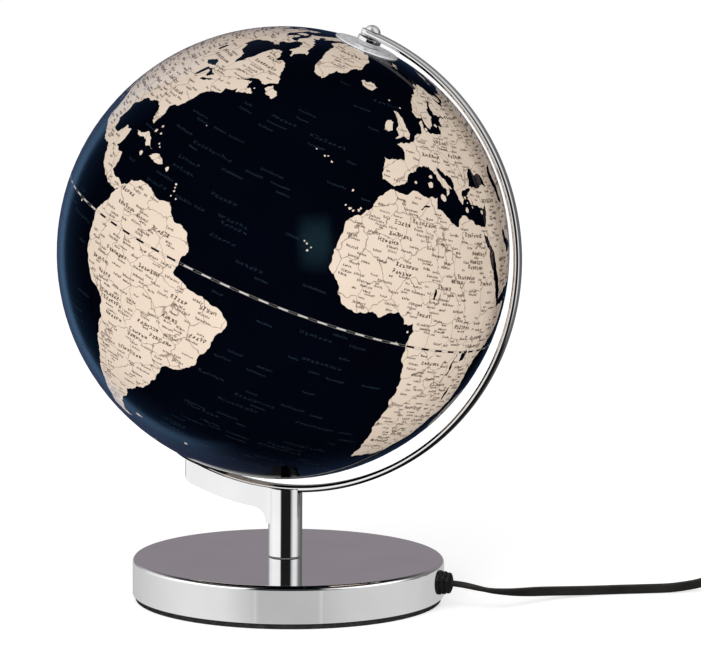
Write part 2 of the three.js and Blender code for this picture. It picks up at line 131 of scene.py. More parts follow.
# ---- camera --------------------------------------------------------------------------------------------
CAMERA_AZIMUTH = math.radians(19.33)
CAMERA_ELEVATION = math.radians(6.3)
CAMERA_DISTANCE = 1.8
CAMERA_TARGET = Vector((0.0, 0.0, 0.17))
AIM_RIGHT = 0.0337
AIM_DOWN = 0.0222
CAMERA_ROLL = math.radians(0.43)
CAMERA_LENS = 166.9


def direction(azimuth, elevation):
    """The unit vector from the object towards a place at this azimuth and elevation."""
    level = math.cos(elevation)
    return Vector((math.sin(azimuth) * level, -math.cos(azimuth) * level, math.sin(elevation)))


def place_camera():
    camera = bpy.data.objects.new("camera", bpy.data.cameras.new("camera"))
    bpy.context.scene.collection.objects.link(camera)
    towards = direction(CAMERA_AZIMUTH, CAMERA_ELEVATION)
    right = Vector((math.cos(CAMERA_AZIMUTH), math.sin(CAMERA_AZIMUTH), 0))
    aim = CAMERA_TARGET + AIM_RIGHT * right - AIM_DOWN * towards.cross(right)
    camera.location = CAMERA_TARGET + CAMERA_DISTANCE * towards
    turn = (aim - camera.location).to_track_quat("-Z", "Y").to_matrix() @ Matrix.Rotation(CAMERA_ROLL, 3, "Z")
    camera.rotation_euler = turn.to_euler()
    camera.data.lens = CAMERA_LENS
    camera.data.sensor_width = 36.0
    camera.data.clip_end = 200.0
    bpy.context.scene.camera = camera


place_camera()

# ---- materials -----------------------------------------------------------------------------------------


class Finish:
    """A principled material on object coordinates, with a little variation in colour, gloss and surface."""

    def __init__(self, name, colour, roughness, metallic=0.0):
        self.material = bpy.data.materials.new(name)
        self.material.use_nodes = True
        self.tree = self.material.node_tree
        self.shader = self.tree.nodes["Principled BSDF"]
        self.shader.inputs["Base Color"].default_value = (*colour, 1)
        self.shader.inputs["Roughness"].default_value = roughness
        self.shader.inputs["Metallic"].default_value = metallic
        self.colour = colour
        self.roughness = roughness
        self.place = self.node("ShaderNodeTexCoord").outputs["Object"]

    def node(self, kind, **values):
        made = self.tree.nodes.new(kind)
        for key, value in values.items():
            setattr(made, key, value)
        return made

    def link(self, start, end):
        self.tree.links.new(start, end)

    def noise(self, scale, detail=3.0, stretch=None):
        made = self.node("ShaderNodeTexNoise")
        made.inputs["Scale"].default_value = scale
        made.inputs["Detail"].default_value = detail
        if stretch:
            turn = self.node("ShaderNodeMapping")
            turn.inputs["Scale"].default_value = stretch
            self.link(self.place, turn.inputs["Vector"])
            self.link(turn.outputs["Vector"], made.inputs["Vector"])
        else:
            self.link(self.place, made.inputs["Vector"])
        return made.outputs["Fac"]

    def spread(self, value, low, high):
        made = self.node("ShaderNodeMapRange")
        made.inputs["To Min"].default_value = low
        made.inputs["To Max"].default_value = high
        made.inputs["From Min"].default_value = 0.3
        made.inputs["From Max"].default_value = 0.7
        self.link(value, made.inputs["Value"])
        return made.outputs["Result"]

    def vary_gloss(self, scale, amount, stretch=None):
        low, high = self.roughness - amount, self.roughness + amount
        wanted = self.spread(self.noise(scale, stretch=stretch), low, high)
        self.link(wanted, self.shader.inputs["Roughness"])
        return self

    def vary_colour(self, scale, other, stretch=None):
        blend = self.node("ShaderNodeMix", data_type="RGBA")
        blend.inputs["A"].default_value = (*self.colour, 1)
        blend.inputs["B"].default_value = (*other, 1)
        self.link(self.spread(self.noise(scale, stretch=stretch), 0, 1), blend.inputs["Factor"])
        self.link(blend.outputs["Result"], self.shader.inputs["Base Color"])
        return self

    def bump(self, scale, depth, detail=3.0, stretch=None):
        made = self.node("ShaderNodeBump")
        made.inputs["Distance"].default_value = depth
        self.link(self.noise(scale, detail, stretch), made.inputs["Height"])
        self.link(made.outputs["Normal"], self.shader.inputs["Normal"])
        return self


def moulded(name, colour, roughness, grain=0.00004):
    finish = Finish(name, colour, roughness)
    lighter = tuple(min(1, 1.35 * c + 0.002) for c in colour)
    return finish.vary_gloss(220, 0.07).vary_colour(60, lighter).bump(1500, grain).material


def metal(name, colour, roughness, wear, stretch=None):
    finish = Finish(name, colour, roughness, 1.0)
    darker = tuple(0.93 * c for c in colour)
    return finish.vary_gloss(90, wear, stretch).vary_colour(35, darker).material


def map_print(name, colour, other, roughness=0.07):
    """Printed plastic under clear gloss lacquer."""
    finish = Finish(name, colour, roughness)
    finish.shader.inputs["IOR"].default_value = 1.5
    finish.shader.inputs["Specular IOR Level"].default_value = 0.25
    return finish.vary_gloss(55, 0.02).vary_colour(28, other)


def land_print():
    """Cream land with thin brown frontiers between its countries."""
    finish = map_print("map_land", (0.685, 0.575, 0.475), (0.66, 0.545, 0.44))
    wander = finish.node("ShaderNodeTexNoise")
    wander.inputs["Scale"].default_value = 140
    finish.link(finish.place, wander.inputs["Vector"])
    shift = finish.node("ShaderNodeVectorMath", operation="MULTIPLY_ADD")
    shift.inputs[1].default_value = (0.008, 0.008, 0.008)
    finish.link(wander.outputs["Color"], shift.inputs[0])
    finish.link(finish.place, shift.inputs[2])
    cells = finish.node("ShaderNodeTexVoronoi", feature="DISTANCE_TO_EDGE")
    cells.inputs["Scale"].default_value = 62
    finish.link(shift.outputs["Vector"], cells.inputs["Vector"])
    line = finish.node("ShaderNodeMapRange")
    line.inputs["From Min"].default_value = 0.007
    line.inputs["From Max"].default_value = 0.017
    line.inputs["To Min"].default_value = 0.62
    line.inputs["To Max"].default_value = 0.0
    finish.link(cells.outputs["Distance"], line.inputs["Value"])
    ink = finish.node("ShaderNodeMix", data_type="RGBA")
    before = finish.shader.inputs["Base Color"].links[0].from_socket
    finish.link(before, ink.inputs["A"])
    ink.inputs["B"].default_value = (0.10, 0.05, 0.035, 1)
    finish.link(line.outputs["Result"], ink.inputs["Factor"])
    finish.link(ink.outputs["Result"], finish.shader.inputs["Base Color"])
    return finish.material


def foam_rubber():
    finish = Finish("foam_rubber", (0.012, 0.012, 0.013), 0.85)
    return finish.vary_colour(400, (0.03, 0.03, 0.032)).vary_gloss(300, 0.1).bump(1400, 0.00015).material


def cast_iron():
    finish = Finish("cast_iron", (0.06, 0.06, 0.062), 0.8, 0.6)
    return finish.vary_colour(80, (0.1, 0.09, 0.085)).vary_gloss(120, 0.1).bump(900, 0.0003).material


def silver_print():
    finish = Finish("silver_dial", (0.86, 0.86, 0.89), 0.3)
    return finish.vary_gloss(160, 0.06).vary_colour(40, (0.80, 0.80, 0.83)).material


def clear_glass():
    finish = Finish("bulb_glass", (0.95, 0.95, 0.93), 0.12)
    finish.shader.inputs["Transmission Weight"].default_value = 0.9
    finish.shader.inputs["IOR"].default_value = 1.45
    return finish.vary_gloss(60, 0.05).material


CHROME = metal("polished_chrome", (0.93, 0.93, 0.94), 0.045, 0.012)
STEEL = metal("turned_steel", (0.55, 0.56, 0.57), 0.32, 0.08, (1, 1, 14))
BRASS = metal("brass", (0.72, 0.52, 0.22), 0.25, 0.08)
NICKEL = metal("nickel", (0.74, 0.71, 0.64), 0.2, 0.06)
CAST_IRON = cast_iron()
FOAM = foam_rubber()
GLAND_NYLON = moulded("gland_nylon", (0.009, 0.009, 0.010), 0.22, 0.00001)
RUBBER = moulded("black_rubber", (0.012, 0.012, 0.012), 0.5)
BLACK_PLASTIC = moulded("black_plastic", (0.011, 0.011, 0.012), 0.36)
WHITE_PLASTIC = moulded("white_plastic", (0.72, 0.71, 0.68), 0.4)
PORCELAIN = moulded("porcelain", (0.8, 0.79, 0.75), 0.2, 0.00002)
SILVER_PRINT = silver_print()
DIAL_INK = moulded("dial_ink", (0.05, 0.05, 0.07), 0.4)
CORD_VINYL = moulded("cord_vinyl", (0.014, 0.012, 0.010), 0.45)
GLASS = clear_glass()
OCEAN = map_print("map_ocean", (0.0007, 0.0013, 0.0040), (0.0006, 0.0010, 0.0030)).material
LAND = land_print()
LAND_INK = moulded("land_ink", (0.055, 0.027, 0.02), 0.1, 0.000005)
SEA_INK = moulded("sea_ink", (0.010, 0.018, 0.028), 0.12, 0.000005)
SCALE_INK = moulded("scale_ink", (0.42, 0.40, 0.37), 0.12, 0.000005)
BLACK_INK = moulded("black_ink", (0.003, 0.003, 0.005), 0.1, 0.000005)

# ---- mesh helpers --------------------------------------------------------------------------------------


def add_mesh(name, points, faces, *materials, place=UPRIGHT, smooth_below=38, even=True):
    """A mesh piece from points in millimetres, with its place in its vertices."""
    mesh = bpy.data.meshes.new(name)
    mesh.from_pydata([MM * (place @ Vector(p)) for p in points], [], faces)
    mesh.validate()
    for material in materials:
        mesh.materials.append(material)
    mesh.polygons.foreach_set("use_smooth", [True] * len(mesh.polygons))
    mesh.set_sharp_from_angle(angle=math.radians(smooth_below))
    piece = bpy.data.objects.new(name, mesh)
    bpy.context.scene.collection.objects.link(piece)
    if even:
        even_normals(piece)
    return piece


def even_normals(piece):
    """Large flat faces keep their own normal, and the small fillets beside them turn."""
    weigh = piece.modifiers.new("even_normals", "WEIGHTED_NORMAL")
    weigh.weight = 100
    weigh.keep_sharp = True


def finished(piece, body, slot, *nodes):
    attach(piece, body)
    if nodes:
        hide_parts(*nodes)
    return piece


def arc(cr, cz, radius, start, end, steps=8):
    """Points of an arc about (cr, cz), from angle start to angle end in degrees."""
    turns = [math.radians(start + (end - start) * i / steps) for i in range(steps + 1)]
    return [(cr + radius * math.cos(a), cz + radius * math.sin(a)) for a in turns]


def softened(profile, radius, steps=4, closed=True):
    """A turned profile with each corner off the axis rounded."""
    result = []
    count = len(profile)
    for i, corner in enumerate(profile):
        here = Vector(corner)
        if corner[0] < 1e-6 or (not closed and i in (0, count - 1)):
            result.append(corner)
            continue
        back = Vector(profile[i - 1]) - here
        ahead = Vector(profile[(i + 1) % count]) - here
        reach = min(radius, back.length * 0.45, ahead.length * 0.45)
        start = here + back.normalized() * reach
        end = here + ahead.normalized() * reach
        for j in range(steps + 1):
            t = j / steps
            result.append(tuple((1 - t) ** 2 * start + 2 * t * (1 - t) * here + t * t * end))
    return result


def turned(name, profile, material, place=UPRIGHT, segments=128, **more):
    """A body of revolution about Z, its profile counterclockwise and closed on itself or on the axis."""
    points = []
    rings = []
    for radius, height in profile:
        if radius < 1e-6:
            rings.append([len(points)])
            points.append((0, 0, height))
            continue
        rings.append(range(len(points), len(points) + segments))
        for i in range(segments):
            angle = 2 * math.pi * i / segments
            points.append((radius * math.cos(angle), radius * math.sin(angle), height))
    pairs = list(zip(rings, rings[1:]))
    if profile[0][0] > 1e-6 and profile[-1][0] > 1e-6:
        pairs.append((rings[-1], rings[0]))
    faces = []
    for lower, upper in pairs:
        for i in range(segments):
            j = (i + 1) % segments
            if len(lower) == 1 and len(upper) == 1:
                continue
            if len(lower) == 1:
                faces.append((lower[0], upper[j], upper[i]))
            elif len(upper) == 1:
                faces.append((lower[i], lower[j], upper[0]))
            else:
                faces.append((lower[i], lower[j], upper[j], upper[i]))
    return add_mesh(name, points, faces, material, place=place, **more)


def ring_profile(inner, outer, bottom, top):
    return [(inner, bottom), (outer, bottom), (outer, top), (inner, top)]


def tiled(sections, closed_ends=True):
    """Faces that join equal rings of points, one after another, with a fan over each end."""
    count = len(sections[0])
    points = [p for section in sections for p in section]
    faces = []
    for k in range(len(sections) - 1):
        for i in range(count):
            j = (i + 1) % count
            faces.append((k * count + i, k * count + j, (k + 1) * count + j, (k + 1) * count + i))
    if closed_ends:
        faces.append(tuple(reversed(range(count))))
        faces.append(tuple(range((len(sections) - 1) * count, len(sections) * count)))
    return points, faces


def rounded_rectangle(length, width, radius, steps=6):
    """Counterclockwise outline about the origin, with round corners."""
    x = length / 2 - radius
    y = width / 2 - radius
    outline = []
    for cx, cy, start in ((x, -y, -90), (x, y, 0), (-x, y, 90), (-x, -y, 180)):
        outline += arc(cx, cy, radius, start, start + 90, steps)
    return outline


def prism(name, outline, bottom, top, material, place=UPRIGHT):
    """An outline drawn in XY and thickened along Z, its edges sharp."""
    points, faces = tiled([[(x, y, height) for x, y in outline] for height in (bottom, top)])
    return add_mesh(name, points, faces, material, place=place, even=False)


def slab(name, outline, bottom, top, material, place=UPRIGHT, edge=0.8, pocket=None):
    """A prism with rounded edges, after a pocket has been cut into it."""
    piece = prism(name, outline, bottom, top, material, place)
    if pocket:
        carve(piece, "DIFFERENCE", pocket)
    soften_edges(piece, edge)
    return piece


def soften_edges(piece, width, segments=3, angle=30):
    bevel = piece.modifiers.new("edges", "BEVEL")
    bevel.width = width * MM
    bevel.segments = segments
    bevel.limit_method = "ANGLE"
    bevel.angle_limit = math.radians(angle)
    bevel.use_clamp_overlap = True
    bevel.miter_outer = "MITER_ARC"
    even_normals(piece)


def evaluated_mesh(piece):
    """A plain mesh of the piece as its modifiers or its text make it."""
    graph = bpy.context.evaluated_depsgraph_get()
    return bpy.data.meshes.new_from_object(piece.evaluated_get(graph))


def made_solid(piece):
    """Applies the piece's modifiers and leaves a plain mesh."""
    mesh = evaluated_mesh(piece)
    piece.modifiers.clear()
    piece.data = mesh


def carve(piece, operation, tool):
    """Joins a tool shape to the piece, cuts it away or keeps what the two share. The tool is used up."""
    cut = piece.modifiers.new(operation, "BOOLEAN")
    cut.operation = operation
    cut.solver = "EXACT"
    cut.object = tool
    made_solid(piece)
    bpy.data.objects.remove(tool)


def merge_points(piece, distance=1e-6, sliver=None):
    """Joins points that lie together, takes slivers away if asked to, and turns every face outwards."""
    shape = bmesh.new()
    shape.from_mesh(piece.data)
    bmesh.ops.remove_doubles(shape, verts=shape.verts, dist=distance)
    if sliver:
        bmesh.ops.dissolve_degenerate(shape, edges=shape.edges, dist=sliver)
    bmesh.ops.recalc_face_normals(shape, faces=shape.faces)
    shape.to_mesh(piece.data)
    shape.free()


def repaint(node, material):
    """A CAD node whose shape is right keeps it and takes a better material."""
    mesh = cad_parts[node].data
    mesh.materials.clear()
    mesh.materials.append(material)


# ---- cord ----------------------------------------------------------------------------------------------
CORD_SPACING = 3.0
SWITCH_LEFT = SWITCH_CENTRE.x - SWITCH_LENGTH / 2 - GAP
SWITCH_RIGHT = SWITCH_CENTRE.x + SWITCH_LENGTH / 2 + GAP
COIL_SIDE = COIL_OUTER_R + CORD_TUBE_R + 2 * GAP
TAIL_END = PLUG_FACE_X + PLUG_LENGTH + RELIEF_LENGTH + GAP

# From the gland across the floor into the switch, on from the switch, and from the coil into the plug.
LEAD = [
    (GLAND_END_X + GAP, 0, OUTLET_Z), (102, 0.2, 14.2), (109, 2.1, 12.7), (115.5, 6.2, 10.9),
    (121.5, 12.8, 9.4), (127, 21.2, 8), (132.7, 31.2, 6.7), (139, 42.3, 5.3), (147.3, 53.8, 3.9),
    (158, 64.5, 2.9),
    (172, 73.5, 2.7), (186, 81, 2.7), (199, 88, 2.9), (210, 94.6, 4.2), (219, 100.2, 6.2),
    (SWITCH_LEFT - 4, 103.6, SWITCH_CENTRE.z), (SWITCH_LEFT, 104, SWITCH_CENTRE.z),
]
MIDDLE = [
    (SWITCH_RIGHT, 104, SWITCH_CENTRE.z), (SWITCH_RIGHT + 4, 104, SWITCH_CENTRE.z), (306, 104.2, 5.8),
    (317, 104.6, 4.3), (327, 105.2, 4.1),
]
TAIL = [(322, 180.4, 9.4), (308, PLUG_Y - 0.3, 8.2), (298, PLUG_Y, PLUG_Z), (TAIL_END, PLUG_Y, PLUG_Z)]

COIL_LAYER = 5.6
COIL_PITCH = 3.25
COIL_TURNS = 4
POINTS_PER_TURN = 16


def coil_points():
    """Inwards in the lower layer, up one layer at the middle, and outwards again, to the far side."""
    outer = COIL_OUTER_R - CORD_THICK / 2
    lower = COIL_BOTTOM + CORD_WIDTH / 2
    steps = int((2 * COIL_TURNS + 0.5) * POINTS_PER_TURN)
    points = []
    for i in range(steps + 1):
        turn = i / POINTS_PER_TURN
        angle = 2 * math.pi * turn - math.pi / 2
        inwards = min(turn, 2 * COIL_TURNS - 0.25 - turn, COIL_TURNS - 1)
        radius = outer - COIL_PITCH * max(inwards, 0)
        radius += (COIL_SIDE - outer) * max(0.0, 1 - turn * 6) ** 2
        leaving = max(0.0, 1 - (2 * COIL_TURNS + 0.5 - turn) * 6) ** 2
        radius += (COIL_SIDE - outer) * leaving
        climb = min(max((turn - COIL_TURNS + 1.0) / 0.75, 0), 1)
        height = lower + COIL_LAYER * climb * climb * (3 - 2 * climb)
        x = COIL_CENTRE.x + radius * math.cos(angle)
        y = COIL_CENTRE.y + radius * math.sin(angle)
        points.append((x, y, height))
    return points


def smooth_path(points, spacing):
    """Points at an even spacing along one smooth curve through the given ones."""
    knots = [Vector(p) for p in points]
    knots = [2 * knots[0] - knots[1]] + knots + [2 * knots[-1] - knots[-2]]
    dense = []
    for a, b, c, d in zip(knots, knots[1:], knots[2:], knots[3:]):
        t1 = (b - a).length ** 0.5
        t2 = t1 + (c - b).length ** 0.5
        t3 = t2 + (d - c).length ** 0.5
        for i in range(12):
            t = t1 + (t2 - t1) * i / 12
            p = a * (t1 - t) / t1 + b * t / t1
            q = b * (t2 - t) / (t2 - t1) + c * (t - t1) / (t2 - t1)
            r = c * (t3 - t) / (t3 - t2) + d * (t - t2) / (t3 - t2)
            s = p * (t2 - t) / t2 + q * t / t2
            u = q * (t3 - t) / (t3 - t1) + r * (t - t1) / (t3 - t1)
            dense.append(s * (t2 - t) / (t2 - t1) + u * (t - t1) / (t2 - t1))
    dense.append(knots[-2])
    lengths = [0.0]
    for a, b in zip(dense, dense[1:]):
        lengths.append(lengths[-1] + (b - a).length)
    count = round(lengths[-1] / spacing)
    even = []
    k = 0
    for i in range(count + 1):
        wanted = lengths[-1] * i / count
        while k < len(lengths) - 2 and lengths[k + 1] < wanted:
            k += 1
        share = (wanted - lengths[k]) / (lengths[k + 1] - lengths[k])
        even.append(dense[k].lerp(dense[k + 1], min(max(share, 0), 1)))
    return even


def twin_section():
    """The outline of a flat twin cord: two round cores side by side with a shallow groove between them."""
    outline = []
    count = 20
    for i in range(count):
        angle = 2 * math.pi * i / count
        wide = math.cos(angle)
        waist = 0.80 + 0.20 * min(abs(wide) / 0.55, 1) ** 1.3
        x = CORD_WIDTH / 2 * math.copysign(abs(wide) ** 0.85, wide)
        y = CORD_THICK / 2 * math.copysign(abs(math.sin(angle)) ** 0.75, math.sin(angle)) * waist
        outline.append((x, y))
    return outline


def cord_roll(along, total):
    """How far the wide side has turned from upright at this distance from the gland, in radians."""
    leaving = min(max((along - 8) / 62, 0), 1)
    arriving = min(max((along - total + 34) / 30, 0), 1)
    flat = 1 - leaving * leaving * (3 - 2 * leaving) + arriving * arriving * (3 - 2 * arriving)
    return flat * math.pi / 2


def make_cord():
    path = smooth_path(LEAD + MIDDLE + coil_points() + TAIL, CORD_SPACING)
    total = sum((b - a).length for a, b in zip(path, path[1:]))
    outline = twin_section()
    sections = []
    along = 0.0
    for i, centre in enumerate(path):
        ahead = (path[min(i + 1, len(path) - 1)] - path[max(i - 1, 0)]).normalized()
        side = ahead.cross(Vector((0, 0, 1))).normalized()
        up = side.cross(ahead)
        roll = cord_roll(along, total)
        wide = up * math.cos(roll) + side * math.sin(roll)
        thin = wide.cross(ahead)
        sections.append([centre + wide * x + thin * y for x, y in outline])
        if i + 1 < len(path):
            along += (path[i + 1] - centre).length
    points, faces = tiled(sections)
    cord = add_mesh("mains_cord", points, faces, CORD_VINYL, smooth_below=75, even=False)
    cord.visible_glossy = False
    return finished(cord, "stand", "cord", "cord_lead", "cord_middle", "cord_tail", "cord_coil"), path


CORD, CORD_PATH = make_cord()


def make_coil_tie():
    """A soft band round the turns."""
    middle = (COIL_INNER_R + COIL_OUTER_R) / 2
    centre = Vector((COIL_CENTRE.x + middle, COIL_CENTRE.y, COIL_BOTTOM + COIL_HEIGHT / 2))
    length = COIL_OUTER_R - COIL_INNER_R + 1.0
    height = COIL_HEIGHT + 1.0
    stand_up = Matrix.Translation(centre) @ Matrix.Rotation(math.pi / 2, 4, "X")
    inner = rounded_rectangle(length, height, 1.6, 8)
    outer = rounded_rectangle(length + 1.4, height + 1.4, 2.3, 8)
    sections = []
    for (xi, yi), (xo, yo) in zip(inner, outer):
        sections.append([(xi, yi, -1.8), (xo, yo, -2.0), (xo, yo, 2.0), (xi, yi, 1.8)])
    sections.append(sections[0])
    points, faces = tiled(sections, closed_ends=False)
    tie = add_mesh("coil_band", points, faces, RUBBER, place=stand_up, even=False)
    merge_points(tie)
    soften_edges(tie, 0.25, 2)
    return finished(tie, "stand", "black_rubber", "coil_tie")


make_coil_tie()

# ---- base ----------------------------------------------------------------------------------------------


def make_pad():
    """The foot pad. Nothing mirrors it, and the ball and the pole show the studio instead."""
    pad = turned("foot_pad", [
        (0, 0), *arc(PAD_R - 0.6, 0.6, 0.6, -90, 0, 3),
        *arc(PAD_R - 0.4, PAD_THICK - 0.4, 0.4, 0, 90, 3), (0, PAD_THICK),
    ], FOAM, segments=192)
    pad.visible_glossy = False
    return finished(pad, "stand", "black_foam", "base_pad")


def make_base():
    """The chrome bowl over the weight, open below. Nothing mirrors it either."""
    inner = BASE_R - COVER_WALL
    top = BASE_TOP - COVER_WALL
    inner_edge = 1.5
    lip = 0.4
    low = BASE_BOTTOM + lip
    edge = COVER_EDGE_R
    cover = turned("base_bowl", [
        (0, top), (inner - inner_edge, top), *arc(inner - inner_edge, top - inner_edge, inner_edge, 90, 0, 4),
        (inner, BASE_BOTTOM + 0.3), *arc(inner + lip, low, lip, 180, 270, 3),
        *arc(BASE_R - lip, low, lip, -90, 0, 4),
        *arc(BASE_R - edge, BASE_TOP - edge, edge, 0, 90, 12), (BASE_R - edge - 0.6, BASE_TOP),
        (BASE_R * 0.5, BASE_TOP), (0, BASE_TOP),
    ], CHROME, segments=256)
    cover.visible_glossy = False
    return finished(cover, "stand", "chrome", "base_cover")


make_pad()
BASE_COVER = make_base()

# ---- pole and bracket arm, one casting -----------------------------------------------------------------


def globe_point(across, along):
    return AXIS @ Vector((across, 0, along))


ARC_CENTRE = globe_point(*ARC_OFFSET)


def curve_to(start, control, end, steps=8):
    """Points after start along a quadratic curve."""
    a, b, c = Vector(start), Vector(control), Vector(end)
    shares = [i / steps for i in range(1, steps + 1)]
    return [tuple((1 - t) ** 2 * a + 2 * t * (1 - t) * b + t * t * c) for t in shares]


def arm_outline():
    """The arm seen square to the meridian: the saddle above, and the long sweep down into the pole below."""
    right = POLE_X + POLE_R - 1.5
    start = -math.degrees(math.acos((right - ARC_CENTRE.x) / SADDLE_R))
    end = -math.degrees(math.acos((ARM_LEFT - ARC_CENTRE.x) / SADDLE_R))
    pole_left = POLE_X - POLE_R
    outline = arc(ARC_CENTRE.x, ARC_CENTRE.z, SADDLE_R, start, end, 28)
    corner = (ARM_LEFT, 69)
    heel = (-55.5, 61.8)
    throat = (-20, 51.7)
    outline += [corner] + curve_to(corner, (ARM_LEFT, 63.6), heel)
    outline += curve_to(heel, (-37, 53.8), throat, 14)
    outline += curve_to(throat, (pole_left, 50.4), (pole_left, 43), 14)
    outline += [(pole_left + 0.6, POLE_SHOULDER_Z), (right - 1, POLE_SHOULDER_Z)]
    return outline


def arm_plan():
    """The arm seen from above: a narrow round-ended bar that widens into the round of the pole."""
    reach = math.sqrt((POLE_R + NECK_FILLET_R) ** 2 - (ARM_HALF_WIDTH + NECK_FILLET_R) ** 2)
    neck_x = POLE_X - reach
    neck_y = ARM_HALF_WIDTH + NECK_FILLET_R
    touch = math.degrees(math.atan2(neck_y, -reach))
    corner_x = ARM_LEFT + ARM_CORNER_R
    corner_y = ARM_HALF_WIDTH - ARM_CORNER_R
    upper = arc(POLE_X, 0, POLE_R, 0, touch, 16)
    upper += arc(neck_x, neck_y, NECK_FILLET_R, touch - 180, -90, 8)[1:]
    upper += arc(corner_x, corner_y, ARM_CORNER_R, 90, 180, 10)
    lower = [(x, -y) for x, y in reversed(upper)]
    return upper + lower[:-1]


def make_casting():
    """What the arm's side outline and its plan share, with the pole added and the meridian's groove cut."""
    outline = [(x, -z) for x, z in arm_outline()]
    lying = Matrix.Rotation(-math.pi / 2, 4, "X")
    casting = prism("bracket_arm_and_pole", outline, -20, 20, CHROME, lying)
    merge_points(casting)
    column = prism("column", arm_plan(), 40, 80, CHROME)
    merge_points(column)
    carve(casting, "INTERSECT", column)
    foot = BASE_TOP + GAP
    pole = turned("pole", [
        (0, foot), *arc(POLE_R - 0.5, foot + 0.5, 0.5, -90, 0, 3), (POLE_R, 62), (0, 62),
    ], CHROME, place=Matrix.Translation((POLE_X, 0, 0)), segments=128, even=False)
    carve(casting, "UNION", pole)
    carve(casting, "DIFFERENCE", groove_tool(ARC_OUTER_R + GAP, ARC_WIDTH / 2 + GAP))
    soften_edges(casting, ARM_EDGE_R, 4, 40)
    return finished(casting, "stand", "chrome", "bracket_casting")


def groove_tool(radius, half_width):
    """A wide disc about the meridian's centre, as the cutter of the groove that the meridian lies in."""
    square = Matrix.Translation(ARC_CENTRE) @ Matrix.Rotation(math.pi / 2, 4, "X")
    profile = [(0, -half_width), (radius, -half_width), (radius, half_width), (0, half_width)]
    return turned("channel", profile, CHROME, place=square, segments=360, even=False)


CASTING = make_casting()

# ---- meridian ------------------------------------------------------------------------------------------


def make_meridian():
    """A flat band with rounded edges and half-round ends, bent round the globe."""
    middle = ARC_OUTER_R - ARC_THICK / 2
    half = ARC_WIDTH / 2
    section = rounded_rectangle(ARC_WIDTH, ARC_THICK, ARC_EDGE_R, 6)
    end_turn = half / middle
    stations = []
    steps = 10
    for i in range(steps):
        angle = math.pi / 2 * (i + 0.6) / (steps + 0.6)
        stations.append((ARC_START - end_turn * math.cos(angle), math.sin(angle)))
    bends = 240
    for i in range(bends + 1):
        stations.append((ARC_START + (ARC_END - ARC_START) * i / bends, 1.0))
    for turn, share in list(reversed(stations[:steps])):
        stations.append((ARC_END + (ARC_START - turn), share))
    sections = []
    for turn, share in stations:
        outwards = Vector((math.sin(turn), 0, math.cos(turn)))
        centre = Vector((ARC_OFFSET[0], 0, ARC_OFFSET[1])) + middle * outwards
        ring = []
        for wide, thick in section:
            across = math.copysign(min(abs(wide), half) * share, wide)
            ring.append(centre + Vector((0, across, 0)) + thick * outwards)
        sections.append(ring)
    points, faces = tiled(sections)
    band = add_mesh("meridian_band", points, faces, CHROME, place=AXIS, smooth_below=50)
    return finished(band, "stand", "chrome", "meridian_arc")


MERIDIAN = make_meridian()

# ---- fittings on the axis ------------------------------------------------------------------------------
HOURS = 24
PRINT_HEIGHT = DIAL_TOP + 0.02


def make_north_fittings():
    """The cap nut, the collar under the meridian and the bearing in the ball's north hole."""
    nut_bottom = ARC_OUTER_NORTH + GAP
    dome_middle = DOME_TOP - DOME_R
    dome_start = math.degrees(math.asin((nut_bottom - dome_middle) / DOME_R))
    pocket_top = DOME_TOP - 1.3
    nut = turned("dome_nut", [
        (TOP_BORE_R, nut_bottom), *arc(0, dome_middle, DOME_R, dome_start + 2, 90, 14)[:-1], (0, DOME_TOP),
        (0, pocket_top), (TOP_BORE_R, pocket_top),
    ], CHROME, place=AXIS, segments=96)
    finished(nut, "stand", "chrome", "top_cap_nut")
    low = DIAL_TOP + GAP
    high = ARC_INNER_NORTH - GAP
    rim = high - 2.2
    collar = turned("dial_collar", softened([
        (TOP_BORE_R, low), (COLLAR_R, low), (COLLAR_R, rim), (COLLAR_RIM_R, rim), (COLLAR_RIM_R, high),
        (TOP_BORE_R, high),
    ], 0.3), CHROME, place=AXIS, segments=96)
    finished(collar, "stand", "chrome", "top_collar")
    hub = NORTH_HOLE_R - NORTH_HUB_CLEARANCE
    bush = turned("north_bearing", softened([
        (TOP_BORE_R, 119.3), (NORTH_FLANGE_R, 119.3), (NORTH_FLANGE_R, 120.7), (hub, 120.7), (hub, 123.4),
        (TOP_BORE_R, 123.4),
    ], 0.3), BLACK_PLASTIC, place=AXIS, segments=96)
    finished(bush, "globe", "black_plastic", "north_bush")
    return [nut, collar]


def make_disc():
    disc = turned("hour_disc", softened([
        (TOP_BORE_R, DIAL_BOTTOM), (DIAL_R, DIAL_BOTTOM), (DIAL_R, DIAL_TOP), (TOP_BORE_R, DIAL_TOP),
    ], 0.25), SILVER_PRINT, place=AXIS, segments=128)
    return finished(disc, "hour_dial", "dial", "hour_dial")


def make_ticks():
    """A long tick for each hour and a short one for each quarter of an hour."""
    tick_end = DIAL_R - 0.4
    points = []
    faces = []
    for quarter in range(4 * HOURS):
        angle = 2 * math.pi * (quarter / 4) / HOURS
        on_the_hour = quarter % 4 == 0
        inner = tick_end - (2.0 if on_the_hour else 0.9)
        half = 0.14 if on_the_hour else 0.08
        out = Vector((math.cos(angle), math.sin(angle), 0))
        side = Vector((-out.y, out.x, 0)) * half
        corners = [out * inner - side, out * tick_end - side, out * tick_end + side, out * inner + side]
        faces.append(tuple(range(len(points), len(points) + 4)))
        points += [c + Vector((0, 0, PRINT_HEIGHT)) for c in corners]
    ticks = add_mesh("hour_ticks", points, faces, DIAL_INK, place=AXIS, even=False)
    return finished(ticks, "hour_dial", "dial")


